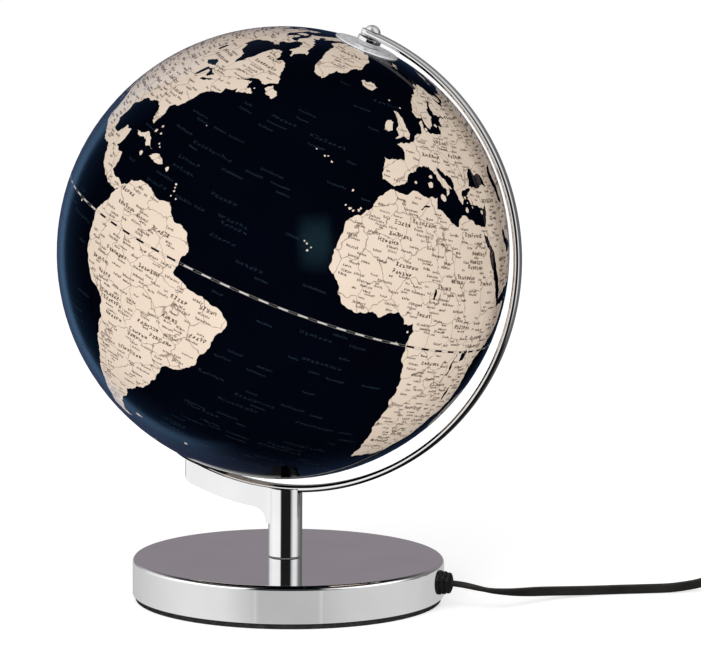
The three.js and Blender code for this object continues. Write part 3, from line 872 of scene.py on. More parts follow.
def make_number(hour):
    """One number of a twelve-hour clock, which runs twice round the disc."""
    text = bpy.data.curves.new("hour", "FONT")
    text.body = str(hour % 12 + 1)
    text.size = 2.7 * MM
    text.align_x = "CENTER"
    text.align_y = "CENTER"
    text.resolution_u = 3
    holder = bpy.data.objects.new("hour", text)
    bpy.context.scene.collection.objects.link(holder)
    mesh = evaluated_mesh(holder)
    bpy.data.objects.remove(holder)
    turn = Matrix.Rotation(2 * math.pi * hour / HOURS + math.pi / 2, 4, "Z")
    out = Matrix.Translation(Vector((0, DIAL_R - 4.3, PRINT_HEIGHT)) * MM)
    shift = Matrix.Scale(MM, 4) @ AXIS @ Matrix.Scale(1 / MM, 4)
    mesh.transform(shift @ turn @ Matrix.Rotation(math.pi, 4, "Z") @ out)
    mesh.materials.clear()
    mesh.materials.append(DIAL_INK)
    number = bpy.data.objects.new(f"hour_number_{hour + 1}", mesh)
    bpy.context.scene.collection.objects.link(number)
    return finished(number, "hour_dial", "dial")


def make_dial():
    """The hour disc, with its ticks and the numbers of a day round it."""
    disc = make_disc()
    make_ticks()
    for hour in range(HOURS):
        make_number(hour)
    return disc


def make_south_fittings():
    """The washer on the meridian and the bearing in the ball's south hole."""
    rim = softened(ring_profile(SOUTH_BORE_R, SOUTH_WASHER_R, -127.9, -126.8), 0.3)
    collar = turned("south_washer", rim, CHROME, place=AXIS, segments=96)
    finished(collar, "stand", "chrome", "south_collar")
    bush = turned("south_bearing", softened([
        (SOUTH_BORE_R, -126.5), (SOUTH_FLANGE_R, -126.5), (SOUTH_FLANGE_R, -125.5), (SOUTH_HUB_R, -125.5),
        (SOUTH_HUB_R, -120.5), (SOUTH_BORE_R, -120.5),
    ], 0.35), BLACK_PLASTIC, place=AXIS, segments=96)
    finished(bush, "globe", "black_plastic", "south_bush")
    return [collar]


TOP_METAL = make_north_fittings() + make_south_fittings()
DIAL = make_dial()

# ---- map -----------------------------------------------------------------------------------------------
# Coasts as "longitude,latitude" in degrees, east and north positive.
COASTS = {
    "africa": """-5.7,36.1 -9,33.4 -10.9,29.6 -14.3,27.1 -16.5,23.1 -17,19 -17.2,15.9 -17.1,13.2 -15.3,12
        -12.7,7.8 -9.4,5.3 -6.8,4.8 -2.8,6.3 -0.9,5.3 2,7.2 4.5,7.7 6.8,5.1 9.3,5.8 10.4,3.9 9.9,-0.4
        10.2,-3.6 13.3,-8.8 14.1,-13.5 13.6,-15.2 14.7,-19.4 16.3,-25.9 18.9,-33 20.1,-37.2 27,-35.8
        31.5,-33.5 34.2,-29 36,-25 38,-19.8 41.2,-15 41,-10.7 40,-6.8 40.5,-3 43,0 46,3 51.3,10.6 51.2,12
        45,10.9 43.4,13.4 41.2,17 38.9,20.6 36.3,25.6 33.2,30 32.3,31.6 31.1,31.8 26.4,33.1 20.9,33
        20.3,31 15.6,32.7 11.2,34.4 11.4,37.2 8.9,37.1 3.5,37.5 -1.8,35.9""",
    "eurasia": """-5.5,37.2 -8.8,38 -9.2,39.4 -8.9,41.5 -9.1,43.9 -5,44.3 -1.4,44.6 -1.4,46.9 -4.4,48.7
        -1.4,49.3 1.1,49.9 3.8,51.6 5.4,53.4 8.4,54.2 8.3,57.3 10.6,58.1 10.2,55.6 11.2,54.6 14,54.6
        18.6,55 21,55.6 21.2,57.6 24.2,57.5 23.8,59.4 28.4,60 29.6,60.4 25,60.7 22,61 21.6,63 25.2,65.5
        22.5,66.2 17.6,62.4 17.9,60.6 19,60 16.5,57.4 14.2,56 12.7,56.4 11.2,59.5 8.2,58.6 5.9,60.4 8,64
        13.4,67 16,68.6 21,71.4 26,71.6 31,70.7 41,67.4 40.4,66.5 33,67 34.9,64.7 38,64.2 40.3,65.3
        44.2,66.3 44,68.8 46.4,68 54,68.8 60.8,69.5 67,69.3 68.4,72.9 72.8,73.2 73,71 75,72.9 80.6,73.8
        87,75.2 98,76.3 104.5,77.8 113.5,76 113.6,74 127,73.3 130,71.4 140.5,73 150,72 160,70.3 170.4,70.2
        178.7,69.6 180,69 180,65 177,64.8 179.3,62.8 171,60.3 164,60 163,57.8 162.3,55.3 156.7,51.3
        155.6,55 156.9,57.9 163.6,61.8 160,61.8 154.5,59.6 143,59.3 135.3,54.8 139.8,54 141.3,52.5
        140.5,48.5 135.5,44 131,42.9 129.8,41 127.6,39.7 129.4,37 128.7,35.3 126.4,34.6 126.7,37.2
        124.7,38.2 125,39.6 121.4,38.9 121.8,40.8 117.8,39 119,37.3 122.3,37.2 119.4,35 121.8,31.6
        121.7,28.4 119,25.4 116.5,23.1 110.6,21.4 108,21.7 105.8,19.2 109,14.5 109,11.6 105,8.7 104.8,10.5
        101,12.7 100.2,13.4 99.2,10 100.4,7.4 103.4,4.5 103.9,1.5 101.4,2.8 98.4,8 98.6,12.4 97.6,16.4
        94.3,16.2 94.2,19 91.6,22.6 88.4,21.8 86.6,20.2 82.2,16.7 80.2,15.4 79.9,10.5 77.6,8.1 76,11
        72.9,18.6 72.7,21.4 70.4,20.9 69,22.3 66.8,24.9 61.6,25.2 57.3,25.8 56.6,27 51.5,27.9 50,30.2
        48,30 48.4,28.2 50.2,26.4 51.3,25.4 51.7,24.2 54.2,24.2 56.3,26.2 56.6,24.3 59.8,22.4 57.7,19
        55.3,17.3 52,15.6 45.6,12.9 43.6,17.2 41.2,21 38.2,26 35.2,29.3 33.2,30 32.4,31.6 34.3,31.5
        35.2,32.8 36.2,35 36.1,36.9 32.6,36.2 30.6,36.9 27.4,36.9 26.3,38.7 26.8,40 29.1,41.1 26,40.9
        23.8,40.4 22.9,39 23.8,38 22.8,36.6 21.2,37.8 19.4,40.4 19.5,42 15.9,43.5 13.6,45 12.3,45.2
        12.6,44 15.8,42 18.4,40.2 16.8,40.5 16.9,38.9 15.7,38.1 15.8,40 12.3,41.8 10.3,43.8 8.7,44.8
        5.2,44.2 3.4,43.5 0.1,41.2 -0.4,39.2 -2.3,38.1""",
    "chukotka": "-180,65 -180,69 -175,67.5 -169.8,66.2 -173,64.4",
    "north_america": """-168,65.6 -162,66.4 -166,68.4 -156.6,71.3 -141,69.7 -128,70.3 -115,68.2 -108,68
        -95,68.4 -93,71.6 -88,68.5 -82,69.5 -81.5,67 -87.1,63.6 -95.3,60.7 -93.9,57.4 -84.1,54.8 -82.3,53
        -80.4,51 -79.4,53 -78.5,56 -79,58.6 -78.5,61.1 -75,62.3 -70.5,61 -69.5,59 -66.1,59.7 -63,58.6
        -59.1,54.6 -56.6,52 -60.2,49.8 -66.4,49.9 -71.2,47.3 -65.4,48.9 -64.8,46.8 -61,45.8 -62.5,45
        -66.2,43.8 -67,45 -70.5,43.3 -70.2,41.5 -74.7,40.1 -76.5,36.5 -77.5,34.2 -81.3,31.4 -80.7,27.2
        -80.9,25.6 -82.1,26 -84.8,29.9 -88,30.7 -93.1,29.4 -96.8,26.2 -97.3,20.9 -95,18.4 -91.9,18.6
        -90.4,21.3 -87.1,21.2 -88.3,16.1 -84,15.4 -83.6,10.8 -79.4,10 -77.3,9 -78.5,7.4 -80.4,7.3
        -85.1,8.4 -91,13.3 -95,14.9 -99.6,16.4 -105.4,19.8 -105.5,23 -109.3,26.4 -113.1,31.2 -114.8,31.7
        -112.6,29 -109.6,23.1 -112.3,25.6 -115,29.4 -117.2,32.7 -120.6,34.6 -124.3,40.4 -124.1,46.3
        -123.2,49 -127.8,51.2 -130.6,54.8 -135.5,59 -139.8,59.7 -148,60.4 -151.8,59.3 -153.2,58
        -158.5,56.2 -164.8,54.6 -157.6,58.7 -162.1,58.7 -165.3,61.2 -161,64.5""",
    "south_america": """-78.7,6.4 -77.3,9.2 -74.6,11.5 -72.1,12.6 -66.4,11.8 -60.7,11.7 -56.9,8.1 -54,7.8
        -51.2,5.2 -50.3,3.3 -51.5,0.1 -52,-2.8 -49,-3.8 -44,-5.2 -39.4,-6 -35.2,-8.1 -35,-10 -37.1,-14.9
        -38.6,-19.1 -40.4,-24 -44.1,-26.5 -48.5,-28.4 -51.4,-34.2 -56.6,-38.6 -62,-42.1 -67.6,-49.4
        -69,-53 -65.5,-55 -70,-55.6 -75.5,-52.9 -74.8,-45.5 -73,-36 -70.9,-23.3 -71.4,-19.3 -77.3,-15.1
        -80.9,-9.4 -81.6,-5 -81.8,-2.9 -81.2,1.9 -79.1,4.4""",
    "antarctica": """-180,-78 -160,-78.4 -150,-77 -130,-74 -110,-75 -100,-72.8 -80,-73.5 -68,-70 -62,-65
        -57,-63.6 -61,-67 -62,-73.5 -72,-77 -58,-79 -40,-78 -28,-76.5 -18,-72.8 0,-69.6 15,-70 33,-68.8
        50,-67 60,-67.6 70,-69 75,-69.6 88,-66.8 105,-66.2 115,-66.8 130,-66.3 145,-67.5 160,-70 170,-72
        165,-77.5 180,-78 180,-90 -180,-90""",
    "greenland": """-52.5,65.6 -55.6,70 -57.6,72.4 -60,75.6 -68.6,77 -68.6,79.6 -59.7,81.4 -46.8,82.8
        -32,82.6 -22,80.4 -20.5,75.7 -26,70.5 -32.6,68.6 -40,65.4 -43.4,60.4 -48.4,61.2""",
    "iceland": "-24.3,65.6 -22.4,66.4 -20.2,66 -16,66.5 -13.6,65.3 -16,63.9 -20,63.6 -22.6,64.2",
    "britain": """-5.2,58.6 -3,58.6 -1.8,57.5 0.2,54.4 1.8,52.7 1.2,51.2 -3.6,50.6 -5.2,50.3 -3.4,51.5
        -4.6,53 -3.4,54.8""",
    "ireland": "-8.4,55.1 -5.8,54.8 -6.3,52.3 -9.9,51.8 -9.6,53.6",
    "newfoundland": "-58.9,48.7 -57.3,50.8 -55.4,49.6 -53,48.6 -53.6,46.9 -56.5,47.3",
    "cuba": "-84.6,22 -80.5,23.3 -77.4,21.9 -74.6,20.4 -77.5,20.1 -79,21.4",
    "hispaniola": "-74.3,18.6 -72.6,20 -70,19.8 -68.6,18.7 -71.2,18",
    "madagascar": "44,-25 43.5,-21.5 44.5,-16.2 49.3,-12.2 50.3,-15.7 47.3,-24.8",
    "australia": """114,-22 113.4,-26 115.7,-31.6 115.1,-34.3 118,-35 123.6,-33.9 129,-31.7 134.2,-32.8
        135.9,-34.9 138,-33.5 138.5,-35.6 140.6,-38 144.6,-38.3 147,-38.9 150,-37.3 153,-31.5 153.3,-25
        149,-20.3 146,-18.9 145.3,-15 142.5,-10.8 141.6,-14.5 140.5,-17.6 135.5,-15 136.9,-12 132.5,-11.4
        130,-13.3 128.5,-14.9 125,-14.5 122.2,-18 117,-20.7""",
    "tasmania": "144.7,-40.8 148.2,-40.9 147.9,-43 146,-43.5",
    "new_zealand_north": """172.8,-34.5 176,-37.6 178.4,-37.8 176.9,-39.6 175,-41.6 175,-40 173.9,-39.3
        174.8,-37""",
    "new_zealand_south": "172.7,-40.6 174.2,-41.7 170.7,-45.8 168.6,-46.6 166.6,-45.9 171,-42.5",
    "new_guinea": """131,-0.8 134.1,-0.9 135,-3.3 141,-2.6 147.5,-6 150.8,-10.3 146.4,-8.6 143.5,-8.5
        138.7,-8.2 137.8,-5 133,-4""",
    "borneo": "109,1.5 111.4,2.6 116.9,7 119,5 117.6,1 116,-4 111.7,-3.3 110.1,-1.3",
    "sumatra": "95.3,5.6 98.6,3.7 103.7,-1 106,-3.2 105.7,-5.8 104.2,-5.6 100.4,-1 97,3",
    "java": "105.3,-6.7 108.6,-6.7 112.7,-6.9 114.4,-7.8 114.3,-8.7 108.5,-7.8 106.4,-7.4",
    "sulawesi": """119.8,0.6 125,1.6 124,0.4 120.9,0.3 122.6,-1 121.7,-2 123.2,-4.2 122.3,-5.3 121,-2.9
        120.4,-5.5 119.5,-3.5""",
    "luzon": "120.6,18.5 122.2,18.4 121.6,16 124,13 121,13.7 120,15.8",
    "mindanao": "122.1,7.3 125.4,9.8 126.5,7.3 125.4,5.7 124,6.8",
    "taiwan": "121,25.1 121.9,25 120.9,22 120.1,23.2",
    "hainan": "109.5,20 111,19.8 109.5,18.2 108.7,19",
    "honshu": "131,34.2 135.6,35.6 137,37.2 139.5,38.5 141.3,41.3 142,39.3 140.7,36 138.5,34.7 135.7,33.6",
    "kyushu": "130,33.5 134.6,34.1 133,32.8 131.2,31.3 130.2,31.3",
    "hokkaido": "140.4,42.6 141.7,45.3 145.2,43.5 143.3,42.1 141,41.9",
    "sakhalin": "142,46.2 142,53.8 143.2,52.5 143.7,49 143.4,46.6",
    "ceylon": "79.9,9.6 81.8,7.2 80.5,6 79.8,7.5",
    "svalbard": "11,79.5 20,80.2 21,78.5 16,76.8",
    "novaya_zemlya": "52,71 56,73.5 68,76.8 60,76 54,73.4 51.6,71.8",
    "baffin": "-62,66 -68,70.3 -77,72.8 -85.5,73.5 -86,70.3 -78,69.6 -72.5,67.5 -73,64.6 -66,62 -67.5,64",
    "victoria_island": "-117,70 -116,73 -105,73 -101.5,69.5 -112,68.6",
    "banks_island": "-125,72 -123,74.2 -117,73.5 -123,71.2",
    "ellesmere": "-90,76.6 -92,80.5 -84,82.3 -70,83 -63.5,82.3 -76,79 -79,76.4",
    "devon_island": "-95,75.2 -92,76.3 -81,75.6 -80.5,74.7 -91,74.7",
    "somerset_island": "-101,72.6 -99,73.8 -95,74 -92,72.8 -95.4,71.9",
    "melville_island": "-115,76 -106,76.4 -107.5,75.2 -116,74.8",
    "southampton_island": "-86,65.8 -81,64 -84,63 -87,63.6",
}
WATERS = {
    "black_sea": """28,41.6 31.4,41.4 36,41.9 41.4,41.5 39,44.2 36.6,45.2 35,44.9 33.5,44.6 32.5,46.2
        30.6,46.3 28.8,44.4""",
    "caspian": "49.5,40.4 50,37.4 53.8,37 53.6,40.5 52.6,41.8 51,44.6 53,46.5 49,46.4 47,43.6",
    "superior": "-92,46.8 -88,48.7 -84.8,46.8 -87.5,46.6",
    "huron": "-87.5,42 -86.8,45.8 -84,46 -80,44.8 -82.3,43.2 -83.6,45 -85,45.2 -86.3,42",
    "erie": "-83,41.7 -79,42.8 -76.3,44 -79.5,43.5 -82.8,42.3",
    "winnipeg": "-98,50.8 -96.6,51.4 -97.6,53.8 -99,53.5",
    "slave_lake": "-116,61 -111,62.7 -112,61.3",
    "bear_lake": "-123,66 -118,66.5 -120,65.3",
    "victoria": "31.8,0.3 34.1,0.3 33.5,-2.3 32,-2.6",
    "tanganyika": "29.4,-0.6 30,-0.6 29.4,-6.6 28.6,-6.4",
    "malawi": "34,-10.2 34.7,-10.4 35.3,-14.2 34.7,-14.2",
    "chad": "13.4,15 14,15 14.1,12.4 13.5,12.4",
    "salt_lake": "5.2,33.4 8.4,34.6 8.4,34.3 5.4,33",
    "baikal": "103.8,51.6 109.8,55.6 108.6,53",
    "ladoga": "30.5,60.8 32.5,61.2 31.6,60",
    "aral": "58.5,45 61,46 59.8,43.7",
    "balkhash": "74,45.5 76.5,46.6 79,46.6 76,45.9",
}
# Islands too small for a drawn coast: longitude, latitude, radius.
ISLETS = """-17.9,28.6,0.25 -16.5,28.2,0.42 -15.5,27.9,0.35 -14,28.4,0.35 -13.6,29,0.3 -25.5,37.7,0.3
    -28.1,38.5,0.3 -27.1,38.8,0.22 -31.2,39.4,0.2 -25,17,0.25 -24.2,16.6,0.25 -23.6,15.1,0.3
    -22.9,16.1,0.22 -17,32.7,0.3 -77.3,18.1,0.6 -66.4,18.2,0.6 -61.5,16.2,0.3 -61,14.6,0.3 -61.3,15.4,0.25
    -61.2,13.2,0.22 -59.5,13.1,0.22 -61.3,10.5,0.5 -78,24.6,0.5 -77,26.3,0.4 -75.7,24.6,0.3 -73.8,22.4,0.3
    -72.9,21.8,0.25 -64.7,32.3,0.15 9,40,0.9 9.1,42.2,0.55 14.2,37.6,0.95 24.9,35.3,0.7 33.2,35.1,0.6
    2.9,39.7,0.4 28,36.3,0.3 26,39,0.3 25.4,37.2,0.25 26.2,38.3,0.25 24.4,38.5,0.4 -7,62,0.25
    -1.3,60.4,0.25 -60,-51.8,0.7 -58.6,-51.7,0.5 8.7,3.5,0.3 6.6,0.3,0.2 55.5,-21.1,0.35 57.5,-20.3,0.3
    -155.6,19.7,0.6 -157.9,21.5,0.3 54,12.5,0.4 125,-9.3,0.7 128,-3.2,0.8 119,-8.8,0.8 123.5,10.3,0.9
    -36.8,-54.4,0.5 69.3,-49.4,0.7 178,-17.8,0.6 165.5,-21.3,0.8 160,-9.2,0.8 -62,47.4,0.25 -63.2,46.4,0.5
    -91,-0.6,0.4 19,57.5,0.5 11.5,55.6,0.5"""
MAP_GRID = 3
COAST_STEP = 0.85
WATER_STEP = 0.7
RAGGEDNESS = 0.17
BALL_CREASE = 60
BARE_PLASTIC = 2
LAT_NORTH = math.degrees(math.acos(NORTH_HOLE_R / GLOBE_R))
LAT_SOUTH = -math.degrees(math.acos(SOUTH_HOLE_R / GLOBE_R))


def read_points(text, size=2):
    values = [float(v) for v in text.replace(",", " ").split()]
    return [tuple(values[i:i + size]) for i in range(0, len(values), size)]


def on_map_edge(p, q):
    return (abs(p[0]) == 180 and p[0] == q[0]) or (p[1] < -89 and q[1] < -89)


def ragged(outline, chance, step=COAST_STEP):
    """The outline with its long sides broken into small irregular steps."""
    pieces = []
    for p, q in zip(outline, outline[1:] + outline[:1]):
        sides = [p, q]
        if not on_map_edge(p, q):
            while math.dist(sides[0], sides[1]) > step:
                finer = [sides[0]]
                for a, b in zip(sides, sides[1:]):
                    push = chance.uniform(-RAGGEDNESS, RAGGEDNESS)
                    x = (a[0] + b[0]) / 2 - push * (b[1] - a[1])
                    y = (a[1] + b[1]) / 2 + push * (b[0] - a[0])
                    finer += [(x, y), b]
                sides = finer
        pieces += sides[:-1]
    return [(min(max(x, -180), 180), y) for x, y in pieces]


def islet(lon, lat, radius, chance):
    stretch = 1 / math.cos(math.radians(lat))
    outline = []
    corners = 9
    for i in range(corners):
        angle = 2 * math.pi * i / corners
        reach = radius * chance.uniform(0.65, 1.2)
        outline.append((lon + reach * stretch * math.cos(angle), lat + reach * math.sin(angle)))
    return outline


def drawn_map():
    chance = random.Random(11)
    lands = [ragged(read_points(text), chance) for text in COASTS.values()]
    lands += [islet(*row, chance) for row in read_points(ISLETS, 3)]
    waters = [ragged(read_points(text), chance, WATER_STEP) for text in WATERS.values()]
    return lands, waters


def inside(outline, places):
    """For each place, whether it is inside the outline."""
    ring = np.array(outline)
    ahead = np.roll(ring, -1, axis=0)
    low, high = ring.min(axis=0), ring.max(axis=0)
    result = np.zeros(len(places), dtype=bool)
    near = np.where(((places >= low) & (places <= high)).all(axis=1))[0]
    for start in range(0, len(near), 4000):
        rows = near[start:start + 4000]
        x, y = places[rows, 0][:, None], places[rows, 1][:, None]
        spans = (ring[:, 1] > y) != (ahead[:, 1] > y)
        rise = np.where(ahead[:, 1] == ring[:, 1], 1.0, ahead[:, 1] - ring[:, 1])
        crossing = ring[:, 0] + (y - ring[:, 1]) * (ahead[:, 0] - ring[:, 0]) / rise
        result[rows] = (spans & (x < crossing)).sum(axis=1) % 2 == 1
    return result


LANDS, WATER_OUTLINES = drawn_map()


def is_land(places):
    places = np.array(places, dtype=float)
    land = np.zeros(len(places), dtype=bool)
    for outline in LANDS:
        land |= inside(outline, places)
    for outline in WATER_OUTLINES:
        land &= ~inside(outline, places)
    return land


def map_point(lon, lat, radius=GLOBE_R):
    """A place on the map as a point in the globe's own frame."""
    turn = math.radians(lon) + ZERO_MERIDIAN
    level = radius * math.cos(math.radians(lat))
    return (level * math.sin(turn), -level * math.cos(turn), radius * math.sin(math.radians(lat)))


def map_faces():
    """The whole map as triangles in longitude and latitude, with an edge along every coast."""
    lats = [LAT_SOUTH] + list(range(-81, 81, MAP_GRID)) + [LAT_NORTH]
    places = [(lon, lat) for lat in lats for lon in range(-180, 181, MAP_GRID)]
    edges = []
    for outline in LANDS + WATER_OUTLINES:
        shown = [p for p in outline if LAT_SOUTH + 0.05 < p[1] < LAT_NORTH - 0.05]
        first = len(places)
        places += shown
        for i, here in enumerate(shown):
            after = (i + 1) % len(shown)
            crosses = abs(here[0] - shown[after][0]) >= 90
            if not on_map_edge(here, shown[after]) and not crosses:
                edges.append((first + i, first + after))
    result = delaunay_2d_cdt([Vector(p) for p in places], edges, [], 0, 1e-5)
    return [tuple(v) for v in result[0]], [tuple(f) for f in result[2]]


def make_ball():
    """The closed shell of the ball: its printed outside, the rims of both holes and its plain inside."""
    places, triangles = map_faces()
    places = [(lon, min(max(lat, LAT_SOUTH), LAT_NORTH)) for lon, lat in places]
    grid = np.array(places)
    corners = np.array(triangles)
    area = np.cross(grid[corners[:, 1]] - grid[corners[:, 0]], grid[corners[:, 2]] - grid[corners[:, 0]])
    kept = np.abs(area) > 1e-9
    flip = area < 0
    corners[flip] = corners[flip][:, ::-1]
    middles = grid[corners].mean(axis=1)
    land = is_land(middles)
    points = [map_point(*p) for p in places]
    faces = [tuple(int(v) for v in c) for c, k in zip(corners, kept) if k]
    paint = [int(v) for v, k in zip(land, kept) if k]
    inner_r = GLOBE_R - GLOBE_WALL
    inner_south = -math.degrees(math.acos(SOUTH_HOLE_R / inner_r))
    inner_north = math.degrees(math.acos(NORTH_HOLE_R / inner_r))
    inner_lats = [inner_south] + list(range(-78, 80, 6)) + [inner_north]
    columns = 360 // MAP_GRID
    first = len(points)
    for lat in inner_lats:
        points += [map_point(-180 + MAP_GRID * i, lat, inner_r) for i in range(columns)]
    for row in range(len(inner_lats) - 1):
        for i in range(columns):
            j = (i + 1) % columns
            a, b = first + row * columns, first + (row + 1) * columns
            faces.append((a + i, b + i, b + j, a + j))
            paint.append(BARE_PLASTIC)
    for lat, row, ends in ((LAT_SOUTH, 0, False), (LAT_NORTH, len(inner_lats) - 1, True)):
        rim = len(points)
        points += [map_point(-180 + MAP_GRID * i, lat) for i in range(columns)]
        for i in range(columns):
            j = (i + 1) % columns
            a = first + row * columns
            quad = (rim + i, a + i, a + j, rim + j)
            faces.append(quad[::-1] if ends else quad)
            paint.append(BARE_PLASTIC)
    ball = add_mesh("map_ball", points, faces, OCEAN, LAND, WHITE_PLASTIC, place=AXIS,
                    smooth_below=BALL_CREASE, even=False)
    ball.data.polygons.foreach_set("material_index", paint)
    merge_points(ball, 2e-6, 1e-7)
    round_normals(ball)
    return finished(ball, "globe", "globe_shell", "north_hemisphere", "south_hemisphere")


def round_normals(ball):
    """The outside of the ball shades as a true sphere, and its rims and its inside as they are."""
    ball.data.set_sharp_from_angle(angle=math.radians(BALL_CREASE))
    centre = MM * GLOBE_CENTRE
    limit = MM * (GLOBE_R - 0.2)
    normals = []
    for corner in ball.data.loops:
        out = ball.data.vertices[corner.vertex_index].co - centre
        normals.append(out.normalized() if out.length > limit else Vector((0, 0, 0)))
    for face in ball.data.polygons:
        if face.material_index == BARE_PLASTIC:
            for i in face.loop_indices:
                normals[i] = Vector((0, 0, 0))
    ball.data.normals_split_custom_set(normals)


BALL = make_ball()

# ---- print on the map ----------------------------------------------------------------------------------


class Print:
    """Flat ink on the ball, a hair above its surface, as small quads that follow the sphere."""

    LIFT = 0.03

    def __init__(self):
        self.points = []
        self.faces = []
        self.paint = []

    def stroke(self, corners, ink=0):
        first = len(self.points)
        self.points += [map_point(lon, lat, GLOBE_R + self.LIFT) for lon, lat in corners]
        self.faces.append(tuple(range(first, first + len(corners))))
        self.paint.append(ink)

    def box(self, lon0, lon1, lat0, lat1, ink=0):
        steps = max(1, math.ceil(abs(lon1 - lon0) / 0.8))
        for i in range(steps):
            a = lon0 + (lon1 - lon0) * i / steps
            b = lon0 + (lon1 - lon0) * (i + 1) / steps
            self.stroke([(a, lat0), (b, lat0), (b, lat1), (a, lat1)], ink)

    def made(self, name, *inks):
        piece = add_mesh(name, self.points, self.faces, *inks, place=AXIS, even=False)
        piece.data.polygons.foreach_set("material_index", self.paint)
        return finished(piece, "globe", "globe_shell")


# A mark that stands for a letter is a few of these strokes on a cell one wide and one high.
MARK_STROKES = [
    (0.0, 0.0, 0.0, 1.0), (0.8, 0.0, 0.8, 1.0), (0.0, 1.0, 0.8, 1.0), (0.0, 0.0, 0.8, 0.0),
    (0.0, 0.5, 0.8, 0.5), (0.0, 0.0, 0.8, 1.0), (0.0, 1.0, 0.8, 0.0), (0.4, 0.0, 0.4, 1.0),
]


def write_line(ink, lon, lat, marks, height, pitch, weight, chance, slope=0.0):
    """A line of marks centred on a place, running east. Sizes are degrees of latitude."""
    stretch = 1 / math.cos(math.radians(lat))
    start = -marks * pitch / 2
    for i in range(marks):
        left = start + i * pitch
        tall = height * (1.0 if i == 0 or slope else chance.choice((0.68, 0.68, 0.72, 1.0)))
        for x0, y0, x1, y1 in chance.sample(MARK_STROKES, 3):
            a = Vector((left + x0 * pitch * 0.8, y0 * tall))
            b = Vector((left + x1 * pitch * 0.8, y1 * tall))
            side = (b - a).orthogonal().normalized() * weight / 2
            quad = [a - side, b - side, b + side, a + side]
            ink.stroke([(lon + p.x * stretch, lat + p.y - height / 2) for p in quad])


def scattered_lines(wanted, sizes, seed, land, margin):
    """Lines of marks spread over the land or over the sea, each clear of coasts and of the others."""
    chance = random.Random(seed)
    taken = []
    ink = Print()
    tries = []
    for _ in range(wanted):
        lon = chance.uniform(-180, 180)
        lat = math.degrees(math.asin(chance.uniform(-0.93, 0.985)))
        height, pitch, weight, low, high = chance.choice(sizes)
        marks = chance.randint(low, high)
        tries.append((lon, lat, height, pitch, weight, marks))
    tries.sort(key=lambda t: -t[2])
    places = []
    for lon, lat, height, pitch, weight, marks in tries:
        half = (marks * pitch / 2 + margin) / math.cos(math.radians(lat))
        for dx in (-1, -0.5, 0, 0.5, 1):
            for dy in (-1, 1):
                places.append((lon + dx * half, lat + dy * (height / 2 + margin)))
    fits = (is_land(places) == land).reshape(len(tries), 10).all(axis=1)
    for fit, (lon, lat, height, pitch, weight, marks) in zip(fits, tries):
        if not fit or abs(lat) < height / 2 + 1.0:
            continue
        half = marks * pitch / 2
        level = math.cos(math.radians(lat))
        clear = True
        for other_lon, other_lat, other_half, other_height in taken:
            if abs(other_lat - lat) < (other_height + height) * 0.62:
                if abs(other_lon - lon) * level < other_half + half + 0.5:
                    clear = False
                    break
        if clear:
            taken.append((lon, lat, half, height))
            write_line(ink, lon, lat, marks, height, pitch, weight, chance)
    return ink


def make_lettering():
    small = (0.58, 0.46, 0.09, 4, 9)
    tiny = (0.48, 0.40, 0.08, 3, 8)
    bold = (0.95, 0.95, 0.17, 5, 8)
    sizes = [small, tiny, small, tiny, tiny, small, tiny, small, tiny, tiny, small, tiny, bold]
    land = scattered_lines(13000, sizes, 3, True, 0.2).made("land_lettering", LAND_INK)
    faint = (0.56, 0.5, 0.09, 5, 12)
    wide = (0.75, 1.2, 0.11, 6, 10)
    sea = scattered_lines(800, [faint, faint, faint, wide], 5, False, 0.7).made("sea_lettering", SEA_INK)
    return [land, sea]


def make_equator():
    """The ladder scale on the equator: white dashes over sea and black dashes over land."""
    scale = Print()
    half = 0.25
    rail = 0.035
    step = 1.25
    count = int(360 / step)
    lons = [-180 + step * i for i in range(count)]
    land = is_land([(lon + step / 2, 0.01) for lon in lons])
    for i, (lon, dry) in enumerate(zip(lons, land)):
        ink = 1 if dry else 0
        scale.box(lon, lon + step, half - rail, half, ink)
        scale.box(lon, lon + step, -half, -half + rail, ink)
        if (i // 2) % 2 == 0:
            inset = 0.0 if dry else 0.08
            scale.box(lon, lon + step, -half + inset, half - inset, ink)
    return scale.made("equator_scale", SCALE_INK, BLACK_INK)


MAP_PIECES = [BALL, *make_lettering(), make_equator()]

# ---- gland, switch and plug ----------------------------------------------------------------------------


def make_gland():
    """A flange inside the cover, a waist in its hole, and three ribs that get smaller outwards."""
    profile = [
        (0, 82.6), (5.8, 82.6), (5.8, 85.1), (4.6, 85.1), (4.6, 87.3), (6.75, 87.3), (6.75, 89.3),
        (5.2, 89.3), (5.2, 90.2), (6.4, 90.2), (6.4, 92), (4.9, 92), (4.9, 92.8), (5.8, 92.8), (5.8, 94.4),
        (4.4, GLAND_END_X), (0, GLAND_END_X),
    ]
    place = Matrix.Translation((0, 0, OUTLET_Z)) @ ALONG_X
    gland = turned("cable_gland", softened(profile, 0.45), GLAND_NYLON, place=place, segments=64)
    gland.visible_glossy = False
    return finished(gland, "stand", "black_rubber", "cord_gland")


